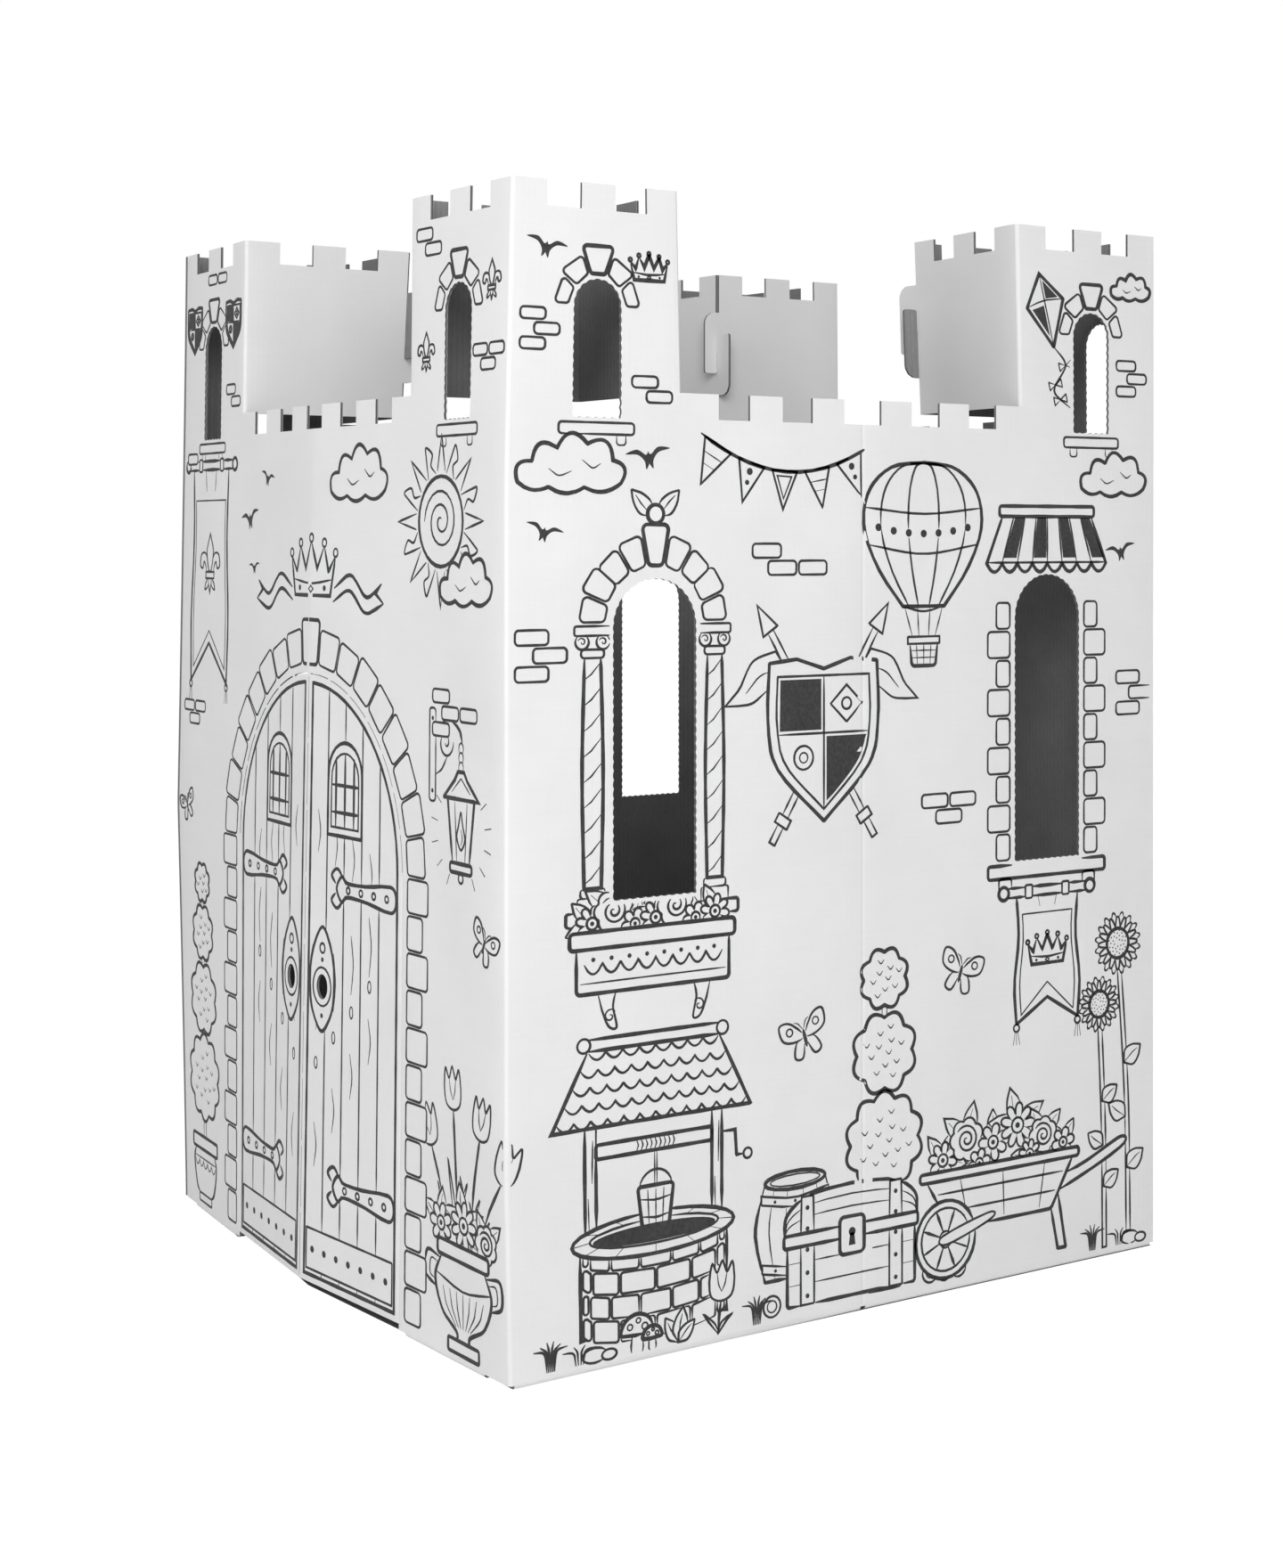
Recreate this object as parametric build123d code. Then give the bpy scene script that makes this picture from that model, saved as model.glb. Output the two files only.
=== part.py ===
from build123d import *
import math
import os

# Cardboard play castle: two die-cut blanks of corrugated board, each folded into two walls
# with the outer faces of the corner towers above them, joined by a glued lap at two corners.
# Millimetres, +Z up, origin on the floor at the middle of the plan, door wall towards -Y.

# The board and its folds
board = 3.0
fold_radius = 4.0
crease_radius = 60.0
score_width = 2.0
score_depth = 0.6

# The plan: corner to corner outside, and how far the middle creases of the end walls stand out
end_wall = 770.0
side_wall = 820.0
bow = 26.0

# Heights: the whole castle, and how far its towers rise above the walls
height = 1118.0
tower_rise = 194.0
wall_top = height - tower_rise
wall_gap_depth = 25.0
tower_gap_depth = 24.5

# Battlements on the walls, between the towers
end_merlon = 39.5
end_gap = 33.0
end_centre_gap = 36.0
side_merlon = 40.0
side_gap = 37.5
side_centre_gap = 48.0

# Towers: the width of a face, that of a side wall's face at a joined corner, and the gap
# between a folded-in panel and its neighbour
tower = 188.0
seam_side_tower = 197.0
tower_parts = 5
corner_gap = 3.0

# Hooks that lock the two folded-in panels of a tower, where they meet above the walls
hook_rise = 93.5
hook_meet = wall_top + hook_rise
hook_neck = 52.5
hook_tongue = 24.5
hook_clearance = 0.5
hook_seat = 0.3
end_hook_reach = 18.0
side_hook_reach = 26.0
hook_round = 14.0
tongue_round = 3.0

# Windows: round-arched, of two sizes, set from the top of the walls
tower_window_centre = 94.0
tower_window_width = 51.0
tower_window_height = 130.0
tower_window_drop = 26.0
tower_window_sill = wall_top - tower_window_drop
wall_window_width = 92.0
wall_window_height = 304.0
wall_window_cover = 179.0
wall_window_sill = wall_top - wall_window_cover - wall_window_height
wall_window_centre = 158.0

# The double door, held in the end wall by nicks, and its finger holes
door_half_width = 191.0
door_arch_top = 642.0
door_foot = 10.0
door_cut = 1.4
nick = 6.0
arch_cuts = 7
centre_cuts = 9
finger_width = 22.0
finger_height = 26.0
finger_from_centre = 37.0
finger_z = 319.0

# Hem flaps folded in along the floor
hem = 38.0
hem_corner_set_back = 42.0
hem_door_set_back = 12.0
hem_side_set_back = 5.0
hem_crease_gap = 6.0
hem_fold_leg = 12.0

# The glued lap inside each joined corner
lap = 35.0
lap_foot = 12.0
glue_line = 0.1

# The plan's corners, worked out from the sizes above
half_x = end_wall / 2
half_y = side_wall / 2
left_corner = Vector(-half_x, -half_y)
door_crease = Vector(0, -half_y - bow)
near_corner = Vector(half_x, -half_y)
right_corner = Vector(half_x, half_y)
end_half_length = (door_crease - left_corner).length


def unit(start, end):
    """The direction from one plan point to another."""
    return (end - start).normalized()


def left_of(direction):
    """A plan direction turned a quarter turn to the left."""
    return Vector(-direction.Y, direction.X)


def inner_line(corners, thickness):
    """The corners of a path moved to its left by a thickness, mitred at each bend."""
    normals = [left_of(unit(a, b)) for a, b in zip(corners, corners[1:])]
    moved = [corners[0] + normals[0] * thickness]
    for corner, before, after in zip(corners[1:], normals, normals[1:]):
        moved.append(corner + (before + after) * (thickness / (1 + before.dot(after))))
    moved.append(corners[-1] + normals[-1] * thickness)
    return moved


def strip(corners, radii, low, high):
    """Board that stands on edge along a plan path whose left side is the inside."""
    outside = FilletPolyline(*corners, radius=radii)
    within = [max(radius - board, 0) for radius in radii]
    inside = FilletPolyline(*inner_line(corners, board), radius=within)
    ends = [Line(outside @ 0, inside @ 0), Line(outside @ 1, inside @ 1)]
    section = make_face(outside.edges() + inside.edges() + ends)
    return Pos(0, 0, low) * extrude(section, amount=high - low)


def wall_plane(start, end):
    """A plane on a wall's outside: x along the wall from start, y up, z outwards."""
    along = unit(start, end)
    return Plane(
        origin=(start.X, start.Y, 0),
        x_dir=(along.X, along.Y, 0),
        z_dir=(along.Y, -along.X, 0),
    )


def box_shape(left, right, low, high):
    """A rectangle between two lengths along a wall and two heights."""
    centre = Pos((left + right) / 2, (low + high) / 2)
    return centre * Rectangle(right - left, high - low)


def arch_shape(centre, width, sill, tall):
    """A round-arched opening standing on its sill."""
    spring = sill + tall - width / 2
    opening = box_shape(centre - width / 2, centre + width / 2, sill, spring)
    return opening + Pos(centre, spring) * Circle(width / 2)


def through(plane, shape):
    """A cutter that takes a shape out of the board on a plane."""
    return extrude(plane * shape, amount=2 * board, both=True)


def on_end_wall(x):
    """The point of the door wall's outside at a given x."""
    return Vector(x, -half_y - bow * (1 - abs(x) / half_x))


# Plan points that the folds share
seam_x = half_x - tower
seam_y = half_y - seam_side_tower
near_x = half_x - tower
near_y = half_y - tower
left_fold = on_end_wall(-seam_x)
near_end_fold = on_end_wall(near_x)
near_side_fold = Vector(half_x, -near_y)
right_fold = Vector(half_x, seam_y)
left_panel_length = -seam_y - left_fold.Y
near_panel_length = -near_y - near_end_fold.Y
panel_short = board + corner_gap

# The lap lies on the inside of the next blank's side wall, a glue line away
lap_fold = on_end_wall(-half_x + board + glue_line)
lap_end = lap_fold + Vector(0, lap)

door_left = wall_plane(left_corner, door_crease)
door_right = wall_plane(door_crease, near_corner)
side_plane = wall_plane(near_corner, right_corner)


def wall_strip():
    """The two walls of a blank, up to the tops of their battlements, with the lap."""
    corners = [lap_end, lap_fold, door_crease, near_corner, right_corner]
    radii = [fold_radius, crease_radius, fold_radius]
    return strip(corners, radii, fold_radius, wall_top)


def tower_strips():
    """The outer tower faces above the walls, with the panels folded in beside them."""
    left_tower = [lap_end, lap_fold, left_fold, Vector(-seam_x, -seam_y - panel_short)]
    near_tower = [
        Vector(near_x, -near_y - panel_short),
        near_end_fold,
        near_corner,
        near_side_fold,
        Vector(near_x + panel_short, -near_y),
    ]
    right_tower = [Vector(seam_x + panel_short, seam_y), right_fold, right_corner]
    strips = []
    for corners in (left_tower, near_tower, right_tower):
        radii = [fold_radius] * (len(corners) - 2)
        strips.append(strip(corners, radii, wall_top, height))
    return strips


def hook_shape(length, reach, upper):
    """A hook in the plane of a folded-in panel, its tongue down if upper, up if not."""
    way = 1 if upper else -1
    root = length - panel_short - board
    tip = length + reach
    throat = length + hook_clearance
    seat = hook_meet + way * hook_seat / 2
    neck = hook_meet + way * hook_neck
    tongue = hook_meet - way * hook_tongue
    corners = [
        (root, neck),
        (tip, neck),
        (tip, tongue),
        (throat, tongue),
        (throat, seat),
        (root, seat),
    ]
    rounds = [0, hook_round, tongue_round, 0, 0, 0]
    return make_face(FilletPolyline(*corners, radius=rounds, close=True).edges())


def panel_plane(fold, inwards):
    """A plane on the outside of a folded-in panel: x from its fold inwards, y up."""
    return Plane(
        origin=(fold.X, fold.Y, 0),
        x_dir=(inwards.X, inwards.Y, 0),
        z_dir=(inwards.Y, -inwards.X, 0),
    )


# The four folded-in panels of a blank: fold, way inwards, side its board lies on, length,
# hook reach and whether the hook is the upper one of its corner
panels = [
    (left_fold, Vector(0, 1), -1, left_panel_length, end_hook_reach, False),
    (near_end_fold, Vector(0, 1), 1, near_panel_length, end_hook_reach, True),
    (near_side_fold, Vector(-1, 0), -1, tower, side_hook_reach, False),
    (right_fold, Vector(-1, 0), 1, tower, side_hook_reach, True),
]


def hooks():
    """The hooks of a blank's four folded-in panels."""
    plates = []
    for fold, inwards, side, length, reach, upper in panels:
        shape = panel_plane(fold, inwards) * hook_shape(length, reach, upper)
        plates.append(extrude(shape, amount=board * side))
    return plates


def wall_gaps(merlon, gap, centre_gap):
    """The gaps of a battlement, as centre and width from the wall's middle."""
    first = centre_gap / 2 + merlon + gap / 2
    second = first + merlon + gap
    return [(0, centre_gap), (first, gap), (-first, gap), (second, gap), (-second, gap)]


def battlement_cutters():
    """The gaps between the merlons of both walls."""
    floor = wall_top - wall_gap_depth
    cutters = []
    for centre, width in wall_gaps(end_merlon, end_gap, end_centre_gap):
        left = centre - width / 2
        right = centre + width / 2
        if left < 0:
            shape = box_shape(left, min(right, board), floor, wall_top + board)
            cutters.append(through(door_left, Pos(end_half_length, 0) * shape))
        if right > 0:
            shape = box_shape(max(left, -board), right, floor, wall_top + board)
            cutters.append(through(door_right, shape))
    for centre, width in wall_gaps(side_merlon, side_gap, side_centre_gap):
        middle = half_y + centre
        shape = box_shape(middle - width / 2, middle + width / 2, floor, wall_top + board)
        cutters.append(through(side_plane, shape))
    return cutters


def crenel_cutters(plane, start, length):
    """The gaps on top of one tower face or folded-in panel."""
    part = length / tower_parts
    cutters = []
    for number in range(1, tower_parts, 2):
        left = start + number * part
        low = height - tower_gap_depth
        cutters.append(through(plane, box_shape(left, left + part, low, height + board)))
    return cutters


def tower_cutters():
    """Crenels and windows of the outer tower faces, and crenels of the inner panels."""
    faces = [
        (door_left, 0, tower, tower_window_centre),
        (door_right, end_half_length - tower, tower, tower - tower_window_centre),
        (side_plane, 0, tower, tower_window_centre),
        (
            side_plane,
            side_wall - seam_side_tower,
            seam_side_tower,
            seam_side_tower - tower_window_centre,
        ),
    ]
    cutters = []
    for plane, start, width, centre in faces:
        cutters += crenel_cutters(plane, start, width)
        window = arch_shape(
            start + centre, tower_window_width, tower_window_sill, tower_window_height
        )
        cutters.append(through(plane, window))
    for fold, inwards, side, length, reach, upper in panels:
        cutters += crenel_cutters(panel_plane(fold, inwards), 0, length)
    return cutters


def side_window_cutters():
    """The two arched windows of the side wall."""
    cutters = []
    for centre in (wall_window_centre, side_wall - wall_window_centre):
        window = arch_shape(centre, wall_window_width, wall_window_sill, wall_window_height)
        cutters.append(through(side_plane, window))
    return cutters


def arch_slits(way):
    """The die cuts of half the door's arch, from the jamb up to the centre line."""
    radius = door_half_width
    spring = door_arch_top - radius
    ring = Circle(radius + door_cut / 2) - Circle(radius - door_cut / 2)
    half_nick = math.degrees(nick / radius) / 2
    step = 90 / arch_cuts
    slits = []
    for number in range(arch_cuts):
        start = math.radians(number * step + half_nick)
        end = math.radians((number + 1) * step - half_nick)
        far = 2 * radius
        wedge = make_face(
            Polyline(
                (0, 0),
                (way * far * math.cos(start), far * math.sin(start)),
                (way * far * math.cos(end), far * math.sin(end)),
                close=True,
            ).edges()
        )
        slits.append(Pos(0, spring) * (ring & wedge))
    return slits


def door_cutters():
    """The cuts that make the two leaves, with nicks left between them."""
    halves = [(door_left, end_half_length, -1), (door_right, 0, 1)]
    cutters = []
    for plane, crease, way in halves:
        jamb = way * door_half_width
        foot = box_shape(min(0, jamb), max(0, jamb), -board, door_foot)
        finger = Pos(way * finger_from_centre, finger_z)
        finger = finger * Ellipse(finger_width / 2, finger_height / 2)
        for shape in [foot, finger] + arch_slits(way):
            cutters.append(through(plane, Pos(crease, 0) * shape))
    cut_height = (door_arch_top - door_foot) / centre_cuts
    for number in range(centre_cuts):
        low = door_foot + number * cut_height + (nick / 2 if number else -board)
        high = door_foot + (number + 1) * cut_height - nick / 2
        slit = Pos(0, -half_y - bow, (low + high) / 2)
        cutters.append(slit * Box(door_cut, 4 * board, high - low))
    return cutters


def score_cutters(door):
    """Pressed score lines: the side wall's middle, and the jambs that the leaves turn on."""
    scores = [(side_plane, half_y, fold_radius, wall_top)]
    if door:
        spring = door_arch_top - door_half_width
        scores.append((door_left, end_half_length - door_half_width, door_foot, spring))
        scores.append((door_right, door_half_width, door_foot, spring))
    cutters = []
    for plane, along, low, high in scores:
        shape = box_shape(along - score_width / 2, along + score_width / 2, low, high)
        cutters.append(extrude(plane * shape, amount=score_depth, both=True))
    return cutters


def hem_flap(plane, start, end):
    """One flap folded in along the floor: an L section carried along the wall."""
    leg = fold_radius + hem_fold_leg
    outside = FilletPolyline((0, leg), (0, 0), (-hem, 0), radius=[fold_radius])
    inside = FilletPolyline(
        (-board, leg), (-board, board), (-hem, board), radius=[fold_radius - board]
    )
    ends = [Line((0, leg), (-board, leg)), Line((-hem, 0), (-hem, board))]
    section = make_face(outside.edges() + inside.edges() + ends)
    across = Plane(
        origin=plane.origin + plane.x_dir * start,
        x_dir=plane.z_dir,
        z_dir=-plane.x_dir,
    )
    return extrude(across * section, amount=start - end)


def hems(door):
    """The hem flaps of a blank, clear of its corners, its creases and its door."""
    middle = door_half_width + hem_door_set_back if door else hem_crease_gap / 2
    side_middle = hem_crease_gap / 2
    return [
        hem_flap(door_left, hem_corner_set_back, end_half_length - middle),
        hem_flap(door_right, middle, end_half_length - hem_corner_set_back),
        hem_flap(side_plane, hem_side_set_back, half_y - side_middle),
        hem_flap(side_plane, half_y + side_middle, side_wall - hem_side_set_back),
    ]


def lap_foot_cutter():
    """The lap's foot is cut short, clear of the hem flap under it."""
    middle = lap_fold + Vector(0, lap / 2 + fold_radius)
    return Pos(middle.X, middle.Y, lap_foot / 2) * Box(4 * board, lap, lap_foot)


def blank(door):
    """One folded blank: an end wall, a side wall and its share of the towers."""
    sheet = wall_strip()
    for piece in tower_strips() + hooks() + hems(door):
        sheet += piece
    cutters = battlement_cutters() + tower_cutters() + side_window_cutters()
    cutters += score_cutters(door) + [lap_foot_cutter()]
    if door:
        cutters += door_cutters()
    return sheet - cutters


def save(node, shape, colour):
    """Write one sub-part to its own file."""
    shape.label = node
    shape.color = colour
    export_step(shape, f"parts/{node}.step")


os.makedirs("parts", exist_ok=True)
white_board = Color(0.86, 0.86, 0.86)
save("front_sheet", blank(door=True), white_board)
save("back_sheet", blank(door=False).rotate(Axis.Z, 180), white_board)
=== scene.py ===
"""Cardboard play castle, two folded blanks of white printed board, dressed around its solids.

Sizes are in millimetres in the board's own flat layout: s runs along the outside of a blank from
its raw end, v runs up from the floor. Meshes are in metres, in the frame of the solids.
"""

import math

import bpy
import numpy as np
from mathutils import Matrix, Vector
from mathutils.geometry import delaunay_2d_cdt


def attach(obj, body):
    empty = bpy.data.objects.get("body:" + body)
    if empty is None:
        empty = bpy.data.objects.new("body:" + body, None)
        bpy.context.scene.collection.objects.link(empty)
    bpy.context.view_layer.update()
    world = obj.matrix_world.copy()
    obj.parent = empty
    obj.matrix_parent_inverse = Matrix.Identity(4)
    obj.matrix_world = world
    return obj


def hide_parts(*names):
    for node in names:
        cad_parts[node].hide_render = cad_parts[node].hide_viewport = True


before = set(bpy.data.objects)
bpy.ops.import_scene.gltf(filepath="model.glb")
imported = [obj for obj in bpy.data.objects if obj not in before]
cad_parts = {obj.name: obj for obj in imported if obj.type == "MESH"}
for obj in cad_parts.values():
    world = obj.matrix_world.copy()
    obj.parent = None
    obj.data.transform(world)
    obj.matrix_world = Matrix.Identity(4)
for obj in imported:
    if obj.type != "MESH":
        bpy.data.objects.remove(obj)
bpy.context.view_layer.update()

MM = 0.001

# The board and its folds
BOARD = 3.0
FOLD_RADIUS = 4.0
CREASE_RADIUS = 60.0
FOLD_STEPS = 6

# The plan and the heights
END_WALL = 770.0
SIDE_WALL = 820.0
BOW = 26.0
HEIGHT = 1118.0
WALL_TOP = 924.0
WALL_GAP_DEPTH = 25.0
TOWER_GAP_DEPTH = 24.5
END_MERLON, END_GAP, END_CENTRE_GAP = 39.5, 33.0, 36.0
SIDE_MERLON, SIDE_GAP, SIDE_CENTRE_GAP = 40.0, 37.5, 48.0
TOWER = 188.0
SEAM_SIDE_TOWER = 197.0
TOWER_PARTS = 5
PANEL_SHORT = 3.0

# The hooks of the folded-in panels
HOOK_MEET = 1017.5
HOOK_NECK = 52.5
HOOK_TONGUE = 24.5
HOOK_SEAT = 0.15
HOOK_CLEARANCE = 0.5
END_HOOK_REACH = 18.0
SIDE_HOOK_REACH = 26.0
HOOK_ROUND = 14.0
TONGUE_ROUND = 3.0

# Windows, door and finger holes
TOWER_WINDOW = (51.0, 898.0, 130.0)
TOWER_WINDOW_CENTRE = 94.0
WALL_WINDOW = (92.0, 441.0, 304.0)
WALL_WINDOW_CENTRE = 158.0
SCALLOP_PITCH = 8.7
SCALLOP_DEPTH = 1.1
DOOR_HALF = 191.0
DOOR_ARCH_TOP = 642.0
DOOR_SPRING = DOOR_ARCH_TOP - DOOR_HALF
DOOR_FOOT = 10.0
ARCH_CUTS = 7
CENTRE_CUTS = 9
NICK = 6.0
CUT_OPEN, CUT_SHUT = 1.6, 0.9
FINGER_HALF_WIDTH, FINGER_HALF_HEIGHT = 11.0, 13.0
FINGER_FROM_CENTRE, FINGER_Z = 37.0, 319.0

# Hem flaps along the floor, and the glued lap
HEM = 38.0
HEM_CORNER, HEM_DOOR, HEM_SIDE, HEM_CREASE = 42.0, 12.0, 5.0, 3.0
LAP = 35.0
LAP_FOOT = 12.0
GLUE_LINE = 0.1

# Pressed score lines
SCORE_WIDTH = 1.5
SCORE_DEPTH = 0.6

# The triangles of a sheet
GRID_STEP, GRID_CLEAR, COLUMN_CLEAR = 24.0, 6.0, 5.0
LEAST_AREA = 1e-4
SEAM_MATCH = 0.05
SHARP_EDGE = math.radians(40)

HALF_X = END_WALL / 2
HALF_Y = SIDE_WALL / 2
TOWER_X = HALF_X - TOWER
NEAR_Y = HALF_Y - TOWER
SEAM_Y = HALF_Y - SEAM_SIDE_TOWER
HALF_END = math.hypot(HALF_X, BOW)
LEFT_CORNER = (-HALF_X, -HALF_Y)
CREASE = (0.0, -HALF_Y - BOW)
NEAR_CORNER = (HALF_X, -HALF_Y)
RIGHT_CORNER = (HALF_X, HALF_Y)
LAP_INSET = BOARD + GLUE_LINE
LAP_FOLD = (-HALF_X + LAP_INSET, -HALF_Y - BOW * LAP_INSET / HALF_X)
LAP_END = (LAP_FOLD[0], LAP_FOLD[1] + LAP)
LAP_FOLD_S = LAP_INSET * HALF_END / HALF_X
LAP_START = LAP_FOLD_S - LAP
FOLD_Y = -HALF_Y - BOW * (1 - TOWER_X / HALF_X)
TOWER_ALONG = TOWER * HALF_END / HALF_X
LEFT_PANEL = -SEAM_Y - FOLD_Y
NEAR_PANEL = -NEAR_Y - FOLD_Y
SIDE_START = 2 * HALF_END
SHEET_END = SIDE_START + SIDE_WALL


def smooth(low, high, value):
    """A smooth step from 0 at low to 1 at high."""
    t = np.clip((value - low) / (high - low), 0, 1)
    return t * t * (3 - 2 * t)


class FoldPath:
    """The outside line of a folded sheet in plan, with each bend rounded by an arc.

    A place s is a length along the unrounded corners. Within the tangent length of a bend the
    point goes round the arc at an even rate, so the normal turns evenly too.
    """

    def __init__(self, corners, radii, first=0.0):
        self.corners = np.array(corners, float)
        legs = np.diff(self.corners, axis=0)
        lengths = np.linalg.norm(legs, axis=1)
        self.ways = legs / lengths[:, None]
        self.starts = first + np.concatenate([[0], np.cumsum(lengths)])
        self.normals = np.stack([self.ways[:, 1], -self.ways[:, 0]], axis=1)
        self.angles = np.arctan2(self.normals[:, 1], self.normals[:, 0])
        self.turns = (np.diff(self.angles) + math.pi) % (2 * math.pi) - math.pi
        self.radii = radii
        self.tangents = [r * math.tan(abs(a) / 2) for r, a in zip(radii, self.turns)]

    def at(self, s):
        """Outside points and outward normals in plan at places s."""
        s = np.asarray(s, float)
        leg = np.clip(np.searchsorted(self.starts, s, side="right") - 1, 0, len(self.ways) - 1)
        point = self.corners[leg] + self.ways[leg] * (s - self.starts[leg])[:, None]
        normal = self.normals[leg].copy()
        for k, (radius, turn, tangent) in enumerate(zip(self.radii, self.turns, self.tangents)):
            bend = self.starts[k + 1]
            near = np.abs(s - bend) < tangent
            before, after = self.normals[k], self.normals[k + 1]
            centre = self.corners[k + 1] - (before + after) * radius / (1 + before @ after)
            share = (s[near] - bend + tangent) / (2 * tangent)
            angle = self.angles[k] + turn * share
            normal[near] = np.stack([np.cos(angle), np.sin(angle)], axis=1)
            point[near] = centre + radius * normal[near]
        return point, normal


def score_places(door):
    """The pressed score lines of a blank: place, lowest and highest v."""
    lines = [(SIDE_START + HALF_Y, FOLD_RADIUS, WALL_TOP)]
    if door:
        lines.append((HALF_END - DOOR_HALF, DOOR_FOOT, DOOR_SPRING))
        lines.append((HALF_END + DOOR_HALF, DOOR_FOOT, DOOR_SPRING))
    return lines


def pressed(s, v, door):
    """How deep the score lines are at (s, v): a bell curve across each line."""
    depth = np.zeros_like(s)
    for place, low, high in score_places(door):
        inside = smooth(low - 6, low + 6, v) * (1 - smooth(high - 6, high + 6, v))
        depth += SCORE_DEPTH * np.exp(-(((s - place) / SCORE_WIDTH) ** 2)) * inside
    return depth


def stand(path, flat, door, lift=0.0):
    """A flat sheet's points in space, those of its outside lifted and those of its inside.

    Below the hem fold the sheet turns in by a quarter circle and lies on the floor.
    """
    s, v = flat.T
    point, normal = path.at(s)
    turn = np.clip((FOLD_RADIUS - v) / (2 * FOLD_RADIUS), 0, 1) * math.pi / 2
    inset = np.where(v < -FOLD_RADIUS, -v, FOLD_RADIUS * (1 - np.cos(turn)))
    up = np.where(v > FOLD_RADIUS, v, FOLD_RADIUS * (1 - np.sin(turn)))
    facing = np.column_stack([normal * np.cos(turn)[:, None], -np.sin(turn)])
    spot = np.column_stack([point - normal * inset[:, None], up])
    dent = pressed(s, v, door)
    outside = spot + facing * (lift - dent)[:, None]
    inside = spot - facing * (BOARD + 0.5 * dent)[:, None]
    return outside, inside


# How the standing castle departs from its folded plan
BOW_AT_FLOOR, BOW_AT_WALL_TOP = 9.0, -8.0
BOW_STARTS, BOW_FULL = NEAR_Y + 10, HALF_Y - 30
CORNER_KINK = 7.5
CORNER_KINK_Z = 470.0
CORNER_REACH = 170.0
CORNER_RISE, CORNER_FADE = 1.2, 1.5
NEAR_KINK_Z = (0.0, 190.0, 840.0, HEIGHT)
NEAR_KINK_X = (6.0, 4.5, 0.0, 0.0)
NEAR_KINK_Y = (-8.0, -11.5, -9.0, -2.0)
NEAR_REACH = 110.0
# How far below the wall top a lean fades out, in heights of a tower
LEAN_FADE = 1.5
# The leans of the towers along y: place, at the wall top, at the tower's top, reach
TOWER_LEANS = (
    ((HALF_X, -NEAR_Y), 0.0, -5.0, 60.0),
    ((HALF_X, SEAM_Y), 0.0, -5.0, 60.0),
    ((TOWER_X, SEAM_Y), 18.0, 9.0, 90.0),
    ((-TOWER_X, -SEAM_Y), -5.0, 5.0, 90.0),
    ((-TOWER_X, NEAR_Y), 6.0, 6.0, 80.0),
    ((-TOWER_X, HALF_Y), 7.0, 7.0, 140.0),
    ((TOWER_X + 60, HALF_Y), 9.0, 9.0, 80.0),
)


def settle(points):
    """Moves points as the real castle has settled.

    The end walls bow out more at the floor and less at the top, in a tent over their length that
    dies out towards the inner corners. The corner where the raw end is glued stands out in a long
    kink, highest at mid height. The near corner stands out too, least at its top. Some folds and
    free panel edges of the towers lean. Each of these dies out as a bell of the distance.
    """
    x, y, z = points.T
    moved = points.copy()
    tent = np.clip(1 - np.abs(x) / HALF_X, 0, 1)
    near_end = smooth(BOW_STARTS, BOW_FULL, np.abs(y))
    bow = BOW_AT_FLOOR + (BOW_AT_WALL_TOP - BOW_AT_FLOOR) * z / WALL_TOP
    moved[:, 1] += np.sign(y) * bow * tent * near_end
    away = np.hypot(x + HALF_X, y + HALF_Y) / CORNER_REACH
    rise = np.where(z < CORNER_KINK_Z, z / CORNER_KINK_Z, (HEIGHT - z) / (HEIGHT - CORNER_KINK_Z))
    kink = CORNER_KINK * np.clip(rise, 0, 1) ** CORNER_RISE * np.exp(-(away**CORNER_FADE))
    moved[:, :2] -= kink[:, None]
    near = np.exp(-((x - HALF_X) ** 2 + (y + HALF_Y) ** 2) / NEAR_REACH**2)
    moved[:, 0] += near * np.interp(z, NEAR_KINK_Z, NEAR_KINK_X)
    moved[:, 1] += near * np.interp(z, NEAR_KINK_Z, NEAR_KINK_Y)
    up = (z - WALL_TOP) / (HEIGHT - WALL_TOP)
    for (lean_x, lean_y), low, high, reach in TOWER_LEANS:
        bell = np.exp(-((x - lean_x) ** 2 + (y - lean_y) ** 2) / reach**2)
        lean = low + (high - low) * np.clip(up, 0, 1)
        moved[:, 1] += lean * bell * smooth(-LEAN_FADE, 0.0, up)
    return moved


def place(points, back):
    """Points of a blank put in the castle, in metres: the back one turned round, both settled."""
    if back:
        points = points * [-1, -1, 1]
    return settle(points) * MM


# Outlines in the flat layout

def arc_points(centre, radius, start, end, count):
    """Points of a circular arc between two angles in degrees, both ends included."""
    angle = np.radians(np.linspace(start, end, count))
    return np.column_stack(
        [centre[0] + radius * np.cos(angle), centre[1] + radius * np.sin(angle)]
    )


def quad(left, low, right, high):
    """The corners of an upright rectangle."""
    return [(left, low), (right, low), (right, high), (left, high)]


def rounded(corners, radii, count=5):
    """A closed outline with some of its corners rounded by arcs."""
    corners = np.array(corners, float)
    points = []
    for k, radius in enumerate(radii):
        corner = corners[k]
        if not radius:
            points.append(corner[None])
            continue
        back = corners[k - 1] - corner
        ahead = corners[(k + 1) % len(corners)] - corner
        back /= np.linalg.norm(back)
        ahead /= np.linalg.norm(ahead)
        half = math.acos(np.clip(back @ ahead, -1, 1)) / 2
        cut = radius / math.tan(half)
        centre = corner + (back + ahead) / np.linalg.norm(back + ahead) * radius / math.sin(half)
        first, last = corner + back * cut - centre, corner + ahead * cut - centre
        share = np.linspace(0, 1, count)[:, None]
        spread = first * (1 - share) + last * share
        spread *= radius / np.linalg.norm(spread, axis=1)[:, None]
        points.append(centre + spread)
    return np.concatenate(points)


def arch_outline(centre, width, sill, tall, count=25):
    """A round-arched window: sill, jambs and a half circle."""
    half = width / 2
    spring = sill + tall - half
    arch = arc_points((centre, spring), half, 0, 180, count)
    return np.concatenate([[(centre - half, sill), (centre + half, sill)], arch])


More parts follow.
